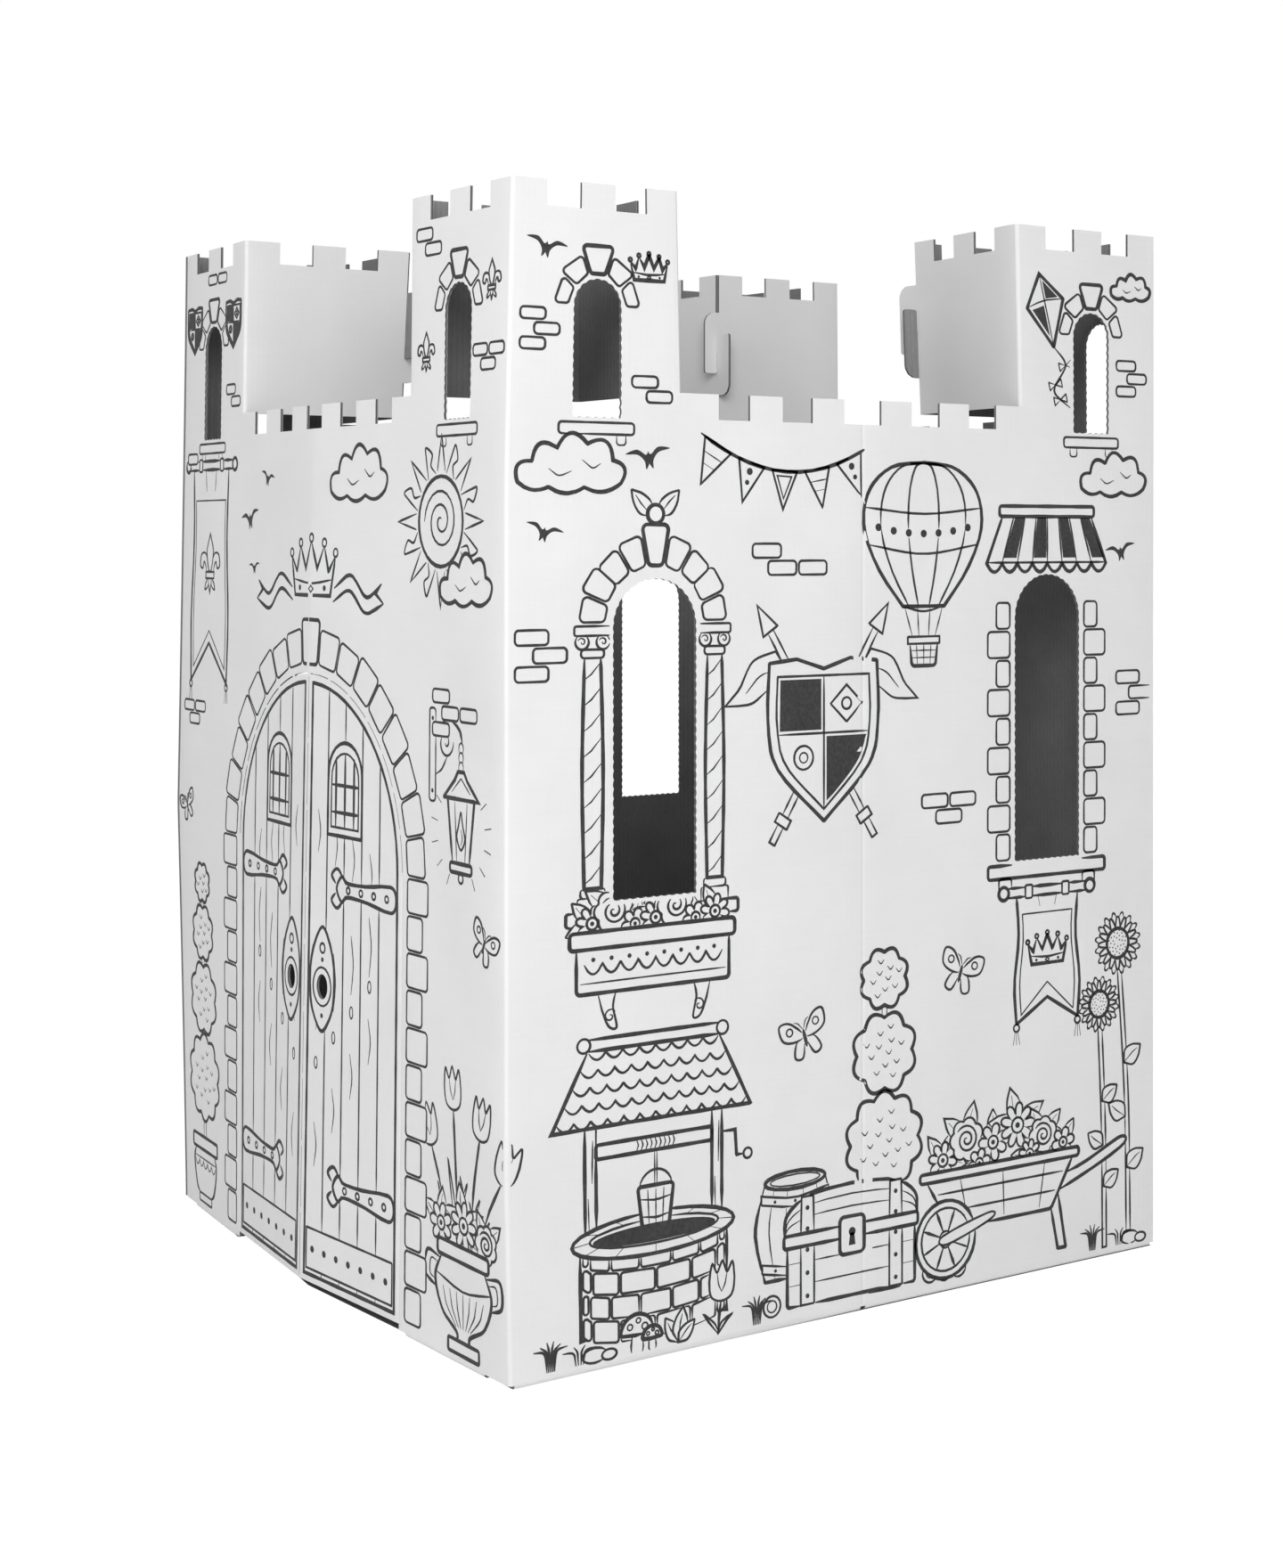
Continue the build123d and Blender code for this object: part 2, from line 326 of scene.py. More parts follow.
def resample(points, step, closed=False):
    """A line's points moved to even steps along it, its ends kept."""
    points = np.asarray(points, float)
    if closed:
        points = np.concatenate([points, points[:1]])
    lengths = np.concatenate([[0], np.cumsum(np.linalg.norm(np.diff(points, axis=0), axis=1))])
    keep = np.concatenate([[True], np.diff(lengths) > 1e-6])
    points, lengths = points[keep], lengths[keep]
    count = max(int(round(lengths[-1] / step)), 2)
    at = np.linspace(0, lengths[-1], count + 1)
    if closed:
        at = at[:-1]
    return np.column_stack([np.interp(at, lengths, points[:, k]) for k in (0, 1)])


def scalloped(outline):
    """A closed outline cut with a wavy knife: even bites, whose cusps point into the opening."""
    samples = 6
    length = np.linalg.norm(np.diff(np.vstack([outline, outline[:1]]), axis=0), axis=1).sum()
    bites = round(length / SCALLOP_PITCH)
    line = resample(outline, length / (bites * samples), closed=True)
    along = np.roll(line, -1, axis=0) - np.roll(line, 1, axis=0)
    along /= np.linalg.norm(along, axis=1)[:, None]
    out = np.column_stack([along[:, 1], -along[:, 0]])
    phase = np.arange(len(line)) / samples
    bite = SCALLOP_DEPTH * (np.abs(np.sin(math.pi * phase)) - 0.35)
    return line + out * bite[:, None]


def ellipse_outline(centre, half_width, half_height, count=28):
    """A closed ellipse."""
    angle = np.linspace(0, 2 * math.pi, count, endpoint=False)
    return np.column_stack(
        [centre[0] + half_width * np.cos(angle), centre[1] + half_height * np.sin(angle)]
    )


def battlement(start, length, merlon, gap, centre_gap):
    """The gaps of a wall's battlement as (left, right) along the blank."""
    middle = start + length / 2
    first = centre_gap / 2 + merlon + gap / 2
    second = first + merlon + gap
    centres = [-second, -first, 0, first, second]
    widths = [gap, gap, centre_gap, gap, gap]
    return [(middle + c - w / 2, middle + c + w / 2) for c, w in zip(centres, widths)]


def crenels(start, length):
    """The gaps on top of one tower face or panel as (left, right)."""
    part = length / TOWER_PARTS
    return [(start + n * part, start + (n + 1) * part) for n in range(1, TOWER_PARTS, 2)]


def notched(level, depth, gaps):
    """A level top edge from left to right, stepping down into each gap."""
    points = []
    for left, right in gaps:
        points += [(left, level), (left, level - depth), (right, level - depth), (right, level)]
    return points


def near_fold(turn_degrees):
    """How far a bend's arc reaches from its corner along the board."""
    return FOLD_RADIUS * math.tan(math.radians(turn_degrees) / 2)


END_TILT = math.degrees(math.atan2(BOW, HALF_X))
END_FOLD_REACH = near_fold(90 + END_TILT)
SIDE_FOLD_REACH = near_fold(90)
FOLD_LEFT = TOWER_ALONG
FOLD_NEAR_END = SIDE_START - TOWER_ALONG
FOLD_NEAR_SIDE = SIDE_START + TOWER
FOLD_RIGHT = SHEET_END - SEAM_SIDE_TOWER


def hem_spans(door):
    """The hem flaps of a blank as (left, right)."""
    middle = DOOR_HALF + HEM_DOOR if door else HEM_CREASE
    return [
        (HEM_CORNER, HALF_END - middle),
        (HALF_END + middle, SIDE_START - HEM_CORNER),
        (SIDE_START + HEM_SIDE, SIDE_START + HALF_Y - HEM_CREASE),
        (SIDE_START + HALF_Y + HEM_CREASE, SIDE_START + SIDE_WALL - HEM_SIDE),
    ]


def bottom_edge(door):
    """The blank's lower edge from left to right: hem flaps below, the door's raised foot."""
    events = [(left, right, -HEM) for left, right in hem_spans(door)]
    if door:
        events.append((HALF_END - DOOR_HALF, HALF_END + DOOR_HALF, DOOR_FOOT))
    bend = LAP_FOLD_S - FOLD_RADIUS
    points = [(LAP_START, LAP_FOOT), (bend, LAP_FOOT), (bend, FOLD_RADIUS)]
    for left, right, level in sorted(events):
        points += [(left, FOLD_RADIUS), (left, level), (right, level), (right, FOLD_RADIUS)]
    points += [(SHEET_END, FOLD_RADIUS)]
    return points


def top_edge():
    """The blank's upper edge from right to left: tower faces above, battlements between."""
    end_gaps = battlement(0, SIDE_START, END_MERLON, END_GAP, END_CENTRE_GAP)
    side_gaps = battlement(SIDE_START, SIDE_WALL, SIDE_MERLON, SIDE_GAP, SIDE_CENTRE_GAP)
    face = TOWER_ALONG
    line = [(LAP_START, HEIGHT)]
    line += notched(HEIGHT, TOWER_GAP_DEPTH, crenels(0, TOWER))
    line += [(face - END_FOLD_REACH, HEIGHT), (face - END_FOLD_REACH, WALL_TOP)]
    line += notched(WALL_TOP, WALL_GAP_DEPTH, end_gaps)
    line += [(FOLD_NEAR_END + END_FOLD_REACH, WALL_TOP), (FOLD_NEAR_END + END_FOLD_REACH, HEIGHT)]
    line += notched(HEIGHT, TOWER_GAP_DEPTH, crenels(SIDE_START - TOWER, TOWER))
    line += notched(HEIGHT, TOWER_GAP_DEPTH, crenels(SIDE_START, TOWER))
    reach = SIDE_FOLD_REACH
    line += [(FOLD_NEAR_SIDE - reach, HEIGHT), (FOLD_NEAR_SIDE - reach, WALL_TOP)]
    line += notched(WALL_TOP, WALL_GAP_DEPTH, side_gaps)
    line += [(FOLD_RIGHT + reach, WALL_TOP), (FOLD_RIGHT + reach, HEIGHT)]
    line += notched(HEIGHT, TOWER_GAP_DEPTH, crenels(FOLD_RIGHT, SEAM_SIDE_TOWER))
    line += [(SHEET_END, HEIGHT)]
    return line[::-1]


def windows():
    """The windows of a blank as (centre, size): four tower windows and two wall windows."""
    towers = [TOWER_WINDOW_CENTRE, SIDE_START - TOWER_WINDOW_CENTRE,
              SIDE_START + TOWER_WINDOW_CENTRE, SHEET_END - TOWER_WINDOW_CENTRE]
    walls = [SIDE_START + WALL_WINDOW_CENTRE, SHEET_END - WALL_WINDOW_CENTRE]
    return [(at, TOWER_WINDOW) for at in towers] + [(at, WALL_WINDOW) for at in walls]


def finger_outlines():
    """The two finger holes of the door."""
    return [
        ellipse_outline((HALF_END + way * FINGER_FROM_CENTRE, FINGER_Z),
                        FINGER_HALF_WIDTH, FINGER_HALF_HEIGHT)
        for way in (-1, 1)
    ]


def door_slits():
    """The narrow cuts around the door's arch and down its middle, with nicks between them."""
    slits = []
    half_nick = math.degrees(NICK / DOOR_HALF) / 2
    step = 90 / ARCH_CUTS
    centre = (HALF_END, DOOR_SPRING)
    for number in range(2 * ARCH_CUTS):
        start = number * step + half_nick
        end = (number + 1) * step - half_nick
        width = CUT_OPEN if number >= ARCH_CUTS else CUT_SHUT
        outer = arc_points(centre, DOOR_HALF + width / 2, start, end, 7)
        inner = arc_points(centre, DOOR_HALF - width / 2, end, start, 7)
        slits.append(np.concatenate([outer, inner]))
    cut = (DOOR_ARCH_TOP - DOOR_FOOT) / CENTRE_CUTS
    for number in range(CENTRE_CUTS):
        low = DOOR_FOOT + number * cut + NICK / 2
        high = DOOR_FOOT + (number + 1) * cut - NICK / 2
        left, right = HALF_END - CUT_SHUT / 2, HALF_END + CUT_SHUT / 2
        slits.append(np.array(quad(left, low, right, high)))
    return slits


def inside(points, loops):
    """Whether points lie in the loops, by counting crossings of a ray to the right."""
    count = np.zeros(len(points), int)
    for loop in loops:
        if loop[:, 1].max() < points[:, 1].min():
            continue
        a, b = loop, np.roll(loop, -1, axis=0)
        low, high = np.minimum(a[:, 1], b[:, 1]), np.maximum(a[:, 1], b[:, 1])
        span = b[:, 1] - a[:, 1]
        slope = np.divide(b[:, 0] - a[:, 0], span, out=np.zeros(len(a)), where=span != 0)
        y = points[:, 1, None]
        crosses = (y >= low) & (y < high)
        x = a[:, 0] + (y - a[:, 1]) * slope
        count += (crosses & (x > points[:, 0, None])).sum(axis=1)
    return count % 2 == 1


def clear_of(points, loops, gap):
    """Which points are at least a gap away from every edge of the loops."""
    good = np.ones(len(points), bool)
    for loop in loops:
        a, b = loop, np.roll(loop, -1, axis=0)
        box = (points > loop.min(axis=0) - gap).all(axis=1)
        box &= (points < loop.max(axis=0) + gap).all(axis=1)
        some = np.flatnonzero(box & good)
        for part in np.array_split(some, 1 + len(some) // 800):
            p = points[part]
            edge = b - a
            square = np.maximum((edge**2).sum(axis=1), 1e-9)
            share = ((p[:, None] - a) * edge).sum(axis=2) / square
            nearest = a + np.clip(share, 0, 1)[..., None] * edge
            distance = np.linalg.norm(p[:, None] - nearest, axis=2).min(axis=1)
            good[part[distance < gap]] = False
    return good


def split_long(loop, step):
    """A closed loop with its long edges divided, its own points kept."""
    pieces = []
    for a, b in zip(loop, np.roll(loop, -1, axis=0)):
        count = max(int(math.ceil(np.linalg.norm(b - a) / step)), 1)
        pieces.append(a + (b - a) * (np.arange(count) / count)[:, None])
    return np.concatenate(pieces)


def triangulate(loops, columns=(), rows=()):
    """Points and triangles of a flat region between its loops.

    Columns and rows are straight lines that the triangles keep to, where the board bends. The
    rest is filled by an even grid, kept clear of every edge.
    """
    points, edges = [], []

    def add(line, closed):
        first = sum(len(p) for p in points)
        points.append(line)
        index = first + np.arange(len(line))
        edges.append(np.column_stack([index[:-1], index[1:]]))
        if closed:
            edges.append(np.array([[index[-1], index[0]]]))

    for loop in loops:
        add(loop, True)
    low = np.min([loop.min(axis=0) for loop in loops], axis=0)
    high = np.max([loop.max(axis=0) for loop in loops], axis=0)
    level = np.arange(low[1] - 2, high[1] + GRID_STEP, GRID_STEP)
    for s, bottom, top in columns:
        inner = level[(level > bottom + 3) & (level < top - 3)]
        heights = np.concatenate([[bottom], inner, [top]])
        add(np.column_stack([np.full(len(heights), s), heights]), False)
    for v in rows:
        add(np.array([(low[0] - 2, v), (high[0] + 2, v)]), False)
    grid_s = np.arange(low[0] + GRID_STEP / 2, high[0], GRID_STEP)
    grid = np.array(np.meshgrid(grid_s, level)).reshape(2, -1).T
    grid = grid[clear_of(grid, loops, GRID_CLEAR)]
    for column in columns:
        grid = grid[np.abs(grid[:, 0] - column[0]) > COLUMN_CLEAR]
    points.append(grid)
    flat = np.concatenate(points)
    verts, _, faces, *_ = delaunay_2d_cdt(
        [Vector(p) for p in flat.tolist()], np.concatenate(edges).tolist(), [], 0, 1e-4
    )
    verts = np.array([v[:] for v in verts], float)
    tris = np.array(faces, int)
    a, b, c = (verts[tris[:, k]] for k in range(3))
    area = (b[:, 0] - a[:, 0]) * (c[:, 1] - a[:, 1]) - (b[:, 1] - a[:, 1]) * (c[:, 0] - a[:, 0])
    keep = inside((a + b + c) / 3, loops) & (np.abs(area) > LEAST_AREA)
    tris = tris[keep]
    tris[area[keep] < 0] = tris[area[keep] < 0][:, ::-1]
    used, tris = np.unique(tris, return_inverse=True)
    return verts[used], tris.reshape(-1, 3)


def bend_columns(place_at, reach, bottom, top):
    """Columns across a bend, from one end of its arc to the other."""
    return [(place_at + reach * k, bottom, top) for k in np.linspace(-1, 1, FOLD_STEPS + 1)]


def wall_region(door):
    """The flat layout of a blank's two walls with their tower faces, lap and hem flaps."""
    outline = np.array(bottom_edge(door) + top_edge(), float)
    loops = [split_long(outline, GRID_STEP / 2)]
    loops += [scalloped(arch_outline(at, *size)) for at, size in windows()]
    if door:
        loops += finger_outlines() + door_slits()
    crease_reach = CREASE_RADIUS * math.tan(math.radians(END_TILT))
    columns = bend_columns(SIDE_START, near_fold(90 - END_TILT), -HEM, HEIGHT + 2)
    columns += bend_columns(LAP_FOLD_S, near_fold(90 - END_TILT), -HEM, HEIGHT + 2)
    crease = bend_columns(HALF_END, crease_reach, -HEM, WALL_TOP + 2)
    columns += [c for c in crease if abs(c[0] - HALF_END) > 1]
    for s, low, high in score_places(door):
        spread = SCORE_WIDTH * np.array([-2.2, -1.2, -0.5, 0, 0.5, 1.2, 2.2])
        columns += [(s + d, low, high) for d in spread]
    return triangulate(loops, columns, np.linspace(FOLD_RADIUS, -FOLD_RADIUS, 4))


def panel_region(length, reach, upper, fold_reach):
    """The flat layout of a folded-in panel with its hook: p runs inwards from the fold."""
    way = 1 if upper else -1
    end = length - PANEL_SHORT
    tip = length + reach
    throat = length + HOOK_CLEARANCE
    seat = HOOK_MEET + way * HOOK_SEAT
    neck = HOOK_MEET + way * HOOK_NECK
    tongue = HOOK_MEET - way * HOOK_TONGUE
    hook = [(end, neck), (tip, neck), (tip, tongue), (throat, tongue), (throat, seat), (end, seat)]
    radii = [0, HOOK_ROUND, TONGUE_ROUND, TONGUE_ROUND, 0, 0]
    hook = rounded(hook, radii)
    if upper:
        hook = hook[::-1]
    outline = np.concatenate([
        [(-fold_reach, WALL_TOP), (end, WALL_TOP)],
        hook,
        [(end, HEIGHT)],
        notched(HEIGHT, TOWER_GAP_DEPTH, crenels(0, length))[::-1],
        [(-fold_reach, HEIGHT)],
    ])
    loop = split_long(outline, GRID_STEP / 2)
    columns = bend_columns(0.0, fold_reach, WALL_TOP, HEIGHT)
    return triangulate([loop], columns[1:])


# The folds of the panels in plan, and a length longer than any panel
LEFT_FOLD = (-TOWER_X, FOLD_Y)
NEAR_END_FOLD = (TOWER_X, FOLD_Y)
NEAR_SIDE_FOLD = (HALF_X, -NEAR_Y)
RIGHT_FOLD = (HALF_X, SEAM_Y)
PANEL_FAR = 300.0


def panels():
    """The four panels of a blank, a row for each.

    Plan path outwards, place of the fold, way of p along the path, length, hook reach, whether
    the hook is the upper one, reach of the fold's arc, and the fold's place on the blank.
    """
    return [
        ([LEFT_CORNER, LEFT_FOLD, (-TOWER_X, FOLD_Y + PANEL_FAR)], TOWER_ALONG, 1, LEFT_PANEL,
         END_HOOK_REACH, False, END_FOLD_REACH, FOLD_LEFT),
        ([(TOWER_X, FOLD_Y + PANEL_FAR), NEAR_END_FOLD, NEAR_CORNER], PANEL_FAR, -1, NEAR_PANEL,
         END_HOOK_REACH, True, END_FOLD_REACH, FOLD_NEAR_END),
        ([NEAR_CORNER, NEAR_SIDE_FOLD, (HALF_X - PANEL_FAR, -NEAR_Y)], TOWER, 1, TOWER,
         SIDE_HOOK_REACH, False, SIDE_FOLD_REACH, FOLD_NEAR_SIDE),
        ([(HALF_X - PANEL_FAR, SEAM_Y), RIGHT_FOLD, RIGHT_CORNER], PANEL_FAR, -1, TOWER,
         SIDE_HOOK_REACH, True, SIDE_FOLD_REACH, FOLD_RIGHT),
    ]


def wall_path():
    """The fold path of a blank's walls and lap."""
    corners = [LAP_END, LAP_FOLD, CREASE, NEAR_CORNER, RIGHT_CORNER]
    return FoldPath(corners, [FOLD_RADIUS, CREASE_RADIUS, FOLD_RADIUS], LAP_START)


def folded_board(name, door, back):
    """One blank as a closed board: outside and inside faces and the cut edges between them."""
    layout, tris = wall_region(door)
    outside, inner = stand(wall_path(), layout, door)
    for corners, fold, way, length, reach, upper, fold_reach, origin in panels():
        piece, piece_tris = panel_region(length, reach, upper, fold_reach)
        along = piece * [way, 1]
        out, within = stand(FoldPath(corners, [FOLD_RADIUS]), along + [fold, 0], False)
        index = len(outside) + np.arange(len(piece))
        border = np.flatnonzero(np.abs(piece[:, 0] + fold_reach) < 1e-3)
        gaps = np.linalg.norm(outside[None] - out[border][:, None], axis=2)
        index[border] = gaps.argmin(axis=1)
        if gaps.min(axis=1).max() > SEAM_MATCH:
            raise ValueError(f"{name}: a panel doesn't meet its tower")
        tris = np.concatenate([tris, index[piece_tris][:, ::way]])
        outside = np.concatenate([outside, out])
        inner = np.concatenate([inner, within])
        layout = np.concatenate([layout, along + [origin, 0]])
    used, tris = np.unique(tris, return_inverse=True)
    tris = tris.reshape(-1, 3)
    outside, inner, layout = outside[used], inner[used], layout[used]
    return close_board(name, outside, inner, layout, tris, back)


def new_piece(name, points, faces, material=None):
    """A mesh object of its own in the scene."""
    mesh = bpy.data.meshes.new(name)
    mesh.from_pydata(points, [], faces)
    if material:
        mesh.materials.append(material)
    mesh.update()
    piece = bpy.data.objects.new(name, mesh)
    bpy.context.scene.collection.objects.link(piece)
    return piece


def other_faces(count, tris):
    """The under faces of a sheet of two like layers, and a strip along every open edge."""
    edges = np.concatenate([tris[:, [0, 1]], tris[:, [1, 2]], tris[:, [2, 0]]])
    a, b = edges[~np.isin(edges @ [count, 1], edges @ [1, count])].T
    return tris[:, ::-1] + count, np.column_stack([a, a + count, b + count, b])


def close_board(name, outside, inner, layout, tris, back):
    """Joins outside and inside faces by a strip along every edge that has one face."""
    count = len(outside)
    under, sides = other_faces(count, tris)
    faces = tris.tolist() + under.tolist() + sides.tolist()
    piece = new_piece(name, place(np.concatenate([outside, inner]), back).tolist(), faces)
    mesh = piece.data
    kinds = np.repeat([0, 1, 2], [len(tris), len(tris), len(sides)])
    mesh.polygons.foreach_set("material_index", kinds.astype(np.int32))
    loops = np.concatenate([tris.ravel(), under.ravel(), sides.ravel()]) % count
    uv = layout[loops] * MM
    depth = np.tile([0.0, BOARD * MM, BOARD * MM, 0.0], len(sides))
    uv[-len(depth):, 1] = depth
    board_uv = mesh.uv_layers.new(name="board")
    board_uv.data.foreach_set("uv", uv.ravel())
    mesh.polygons.foreach_set("use_smooth", np.ones(len(faces), bool))
    mesh.update()
    mesh.set_sharp_from_angle(angle=SHARP_EDGE)
    return piece


# Materials

class Value:
    """An output of a material's node. Arithmetic on it adds Math nodes."""

    def __init__(self, tree, socket):
        self.tree = tree
        self.socket = socket

    def node(self, kind, settings, inputs, output=0):
        """Adds a node: settings first, then the values or links of its sockets."""
        node = self.tree.nodes.new(kind)
        for key, setting in settings.items():
            setattr(node, key, setting)
        for key, value in inputs.items():
            if isinstance(value, Value):
                self.tree.links.new(value.socket, node.inputs[key])
            else:
                node.inputs[key].default_value = value
        return Value(self.tree, node.outputs[output])

    def math(self, operation, *others):
        inputs = dict(enumerate((self,) + others))
        return self.node("ShaderNodeMath", {"operation": operation}, inputs)

    def __add__(self, other):
        return self.math("ADD", other)

    def __mul__(self, other):
        return self.math("MULTIPLY", other)

    __radd__ = __add__
    __rmul__ = __mul__

    def __sub__(self, other):
        return self.math("SUBTRACT", other)

    def __rsub__(self, other):
        return self.math("MULTIPLY", -1.0).math("ADD", other)

    def between(self, low, high):
        """0 at low to 1 at high, smooth, held outside."""
        settings = {"interpolation_type": "SMOOTHSTEP"}
        inputs = {"Value": self, "From Min": low, "From Max": high}
        return self.node("ShaderNodeMapRange", settings, inputs)

    def blend(self, first, second):
        """A colour that goes from first to second as this value goes from 0 to 1."""
        inputs = {0: self, 6: first, 7: second}
        return self.node("ShaderNodeMix", {"data_type": "RGBA"}, inputs, 2)


def grey(level):
    """A neutral colour of one linear level."""
    return (level, level, level, 1.0)


class Finish:
    """A material under construction: its tree, its shader and its starting coordinates."""

    def __init__(self, name, roughness):
        self.material = bpy.data.materials.new(name)
        self.material.use_nodes = True
        self.tree = self.material.node_tree
        self.shader = self.tree.nodes["Principled BSDF"]
        self.shader.inputs["Roughness"].default_value = roughness
        self.shader.inputs["Specular IOR Level"].default_value = 0.25
        start = Value(self.tree, None)
        self.place = start.node("ShaderNodeTexCoord", {}, {}, "Object")
        self.flat = start.node("ShaderNodeUVMap", {"uv_map": "board"}, {})
        self.parts = [
            self.flat.node("ShaderNodeSeparateXYZ", {}, {0: self.flat}, k) for k in (0, 1)
        ]

    def noise(self, scale, detail, coordinates=None):
        inputs = {"Vector": coordinates or self.place, "Scale": scale, "Detail": detail}
        return self.place.node("ShaderNodeTexNoise", {}, inputs)

    def stretched(self, along_s, along_v):
        """Flat coordinates stretched, for marks that run along or across the board."""
        inputs = {"Vector": self.flat, "Scale": (along_s, along_v, 1.0)}
        return self.flat.node("ShaderNodeMapping", {}, inputs)

    def bump(self, height, distance, strength):
        inputs = {"Height": height, "Distance": distance, "Strength": strength}
        self.set("Normal", height.node("ShaderNodeBump", {}, inputs))

    def set(self, socket, value):
        self.tree.links.new(value.socket, self.shader.inputs[socket])


FLUTE_PITCH = 0.0065
WHITE, WHITE_SHADE = 0.82, 0.76
KRAFT_LIGHT, KRAFT_DARK = 0.275, 0.205
# The flute hollows of a cut edge are painted near-black, as the shade inside them.
HOLLOW_SHADE_DARK, HOLLOW_SHADE_LIGHT = 0.07, 0.12
PULP_DARK, PULP_LIGHT = 0.26, 0.38
INK_DARK, INK_LIGHT = 0.028, 0.055


def flute_wave(finish):
    """The board's flutes as a wave along s, -1 to 1: they stand upright in the walls."""
    return (finish.parts[0] * (2 * math.pi / FLUTE_PITCH)).math("SINE")


def white_liner():
    """Coated white liner: faint washboard of the flutes as bumps and as painted light and shade,
    soft mottle and fine fibre.
    """
    finish = Finish("white_liner", 0.62)
    flutes = flute_wave(finish)
    mottle = finish.noise(9.0, 4.0)
    streaks = finish.noise(1.0, 2.0, finish.stretched(8.0, 350.0))
    fibre = finish.noise(900.0, 2.0)
    # The flutes term is painted light and shade of the washboard ripples; mottle, streaks and fibre
    # are the liner's own tone.
    tone = mottle * 0.6 + streaks * 0.15 + fibre * 0.2 + flutes * 0.01
    finish.set("Base Color", tone.between(0.25, 0.75).blend(grey(WHITE_SHADE), grey(WHITE)))
    finish.set("Roughness", mottle * 0.2 + 0.5)
    finish.bump(flutes * 0.25 + streaks * 0.3 + fibre * 0.25, 0.00012, 0.6)
    return finish.material


def kraft_liner():
    """Bare grey-brown liner inside: fibres, darker flecks and stronger washboard, as bumps and as
    painted light and shade.
    """
    finish = Finish("kraft_liner", 0.85)
    flutes = flute_wave(finish)
    cloudy = finish.noise(14.0, 5.0)
    fibre = finish.noise(1.0, 4.0, finish.stretched(700.0, 140.0))
    fleck = finish.noise(420.0, 2.0).between(0.62, 0.72)
    # The flutes term is painted light and shade of the washboard ripples; cloudy tone, fibre and
    # flecks are the liner's own.
    tone = cloudy * 0.6 + fibre * 0.4 + flutes * 0.04 - fleck * 0.25
    finish.set("Base Color", tone.between(0.3, 0.7).blend(grey(KRAFT_DARK), grey(KRAFT_LIGHT)))
    finish.bump(flutes * 0.6 + fibre * 0.6, 0.00018, 0.7)
    return finish.material


def cut_edge():
    """The cut through the board: two liners, and between them the wave of the fluted paper; the
    hollows between the flutes are painted near-black as shade.
    """
    finish = Finish("cut_edge", 0.9)
    depth = finish.parts[1] * (1.0 / MM / BOARD)
    wave = flute_wave(finish) * 0.3 + 0.5
    paper = 1 - (depth - wave).math("ABSOLUTE").between(0.07, 0.16)
    liner = (depth - 0.5).math("ABSOLUTE").between(0.36, 0.42)
    fibre = finish.noise(1400.0, 3.0)
    # Painted shade: the hollows between the flutes get a near-black colour, not shadow from the
    # lamps.
    hollow_shade = fibre.between(0.2, 0.8).blend(grey(HOLLOW_SHADE_DARK), grey(HOLLOW_SHADE_LIGHT))
    pulp = fibre.between(0.2, 0.8).blend(grey(PULP_DARK), grey(PULP_LIGHT))
    solid = (paper + liner).math("MINIMUM", 1.0)
    finish.set("Base Color", solid.blend(hollow_shade, pulp))
    finish.bump(solid + fibre * 0.3, 0.0004, 0.8)
    return finish.material


def ink():
    """Matt black-grey printing ink, a little uneven where the board's fibre shows through."""
    finish = Finish("ink", 0.7)
    patchy = finish.noise(260.0, 4.0) * 0.6 + finish.noise(30.0, 2.0) * 0.4
    finish.set("Base Color", patchy.between(0.3, 0.75).blend(grey(INK_DARK), grey(INK_LIGHT)))
    finish.bump(patchy, 0.00005, 0.4)
    return finish.material


white = white_liner()
kraft = kraft_liner()
edge = cut_edge()
black = ink()

for name, door, back in (("front", True, False), ("back", False, True)):
    board = folded_board(name + "_board", door, back)
    for material in (white, kraft, edge):
        board.data.materials.append(material)
    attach(board, "root")
    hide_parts(name + "_sheet")


# The print: smooth lines and solid areas, laid as thin ink on the outside of the board

OUTLINE, DETAIL, FINE = 4.0, 2.5, 1.7
INK_RISE, INK_ROOT = 0.14, 0.3
SAMPLE = 1.6
END_TAPER = 7.0
BEND_KEPT, RUN_KEPT = math.radians(8), 10
EDGE_CLEAR, HOLE_CLEAR, FLOOR_CLEAR = 5.0, 4.0, 8.0
FINGER_GROWTH, FOOT_SIDE_CLEAR, FOOT_CLEAR = 1.3, 3.0, 4.0
PEN_SWELL, SWELL_RUN, SWELL_START = 0.1, 8.0, (0.37, 0.61)
END_WIDTH = 0.4
GOLDEN_ANGLE = 137.5


def curve(points, closed=False, parts=8):
    """A smooth line through points, by cubics whose tangents follow each point's neighbours."""
    p = np.array(points, float)
    if closed:
        p = np.concatenate([p[-1:], p, p[:2]])
    else:
        p = np.concatenate([2 * p[:1] - p[1:2], p, 2 * p[-1:] - p[-2:-1]])
    t = np.linspace(0, 1, parts, endpoint=False)[:, None]
    pieces = []
    for a, b, c, d in zip(p, p[1:], p[2:], p[3:]):
        square, cube = 2 * a - 5 * b + 4 * c - d, 3 * b - a - 3 * c + d
        pieces.append(b + 0.5 * ((c - a) * t + square * t**2 + cube * t**3))
    if not closed:
        pieces.append(p[-2:-1])
    return np.concatenate(pieces)


def bumpy(corners, bulge, closed=True, parts=9):
    """Runs between corners swollen outwards into even bumps, each a parabola."""
    corners = np.array(corners, float)
    ahead = np.roll(corners, -1, axis=0) if closed else corners[1:]
    base = corners if closed else corners[:-1]
    run = ahead - base
    out = np.column_stack([run[:, 1], -run[:, 0]])
    t = np.linspace(0, 1, parts, endpoint=False)[None, :, None]
    line = base[:, None] + run[:, None] * t + out[:, None] * (4 * bulge * t * (1 - t))
    line = line.reshape(-1, 2)
    return line if closed else np.concatenate([line, corners[-1:]])


def mirrored(half):
    """A symmetric closed outline from its right half, given from one end to the other."""
    half = np.array(half, float)
    return np.concatenate([half, (half * [-1, 1])[::-1]])


def both_sides(half):
    """The points of a symmetric closed curve from its right half, whose ends lie on the middle."""
    return half + [(-x, y) for x, y in half[-2:0:-1]]


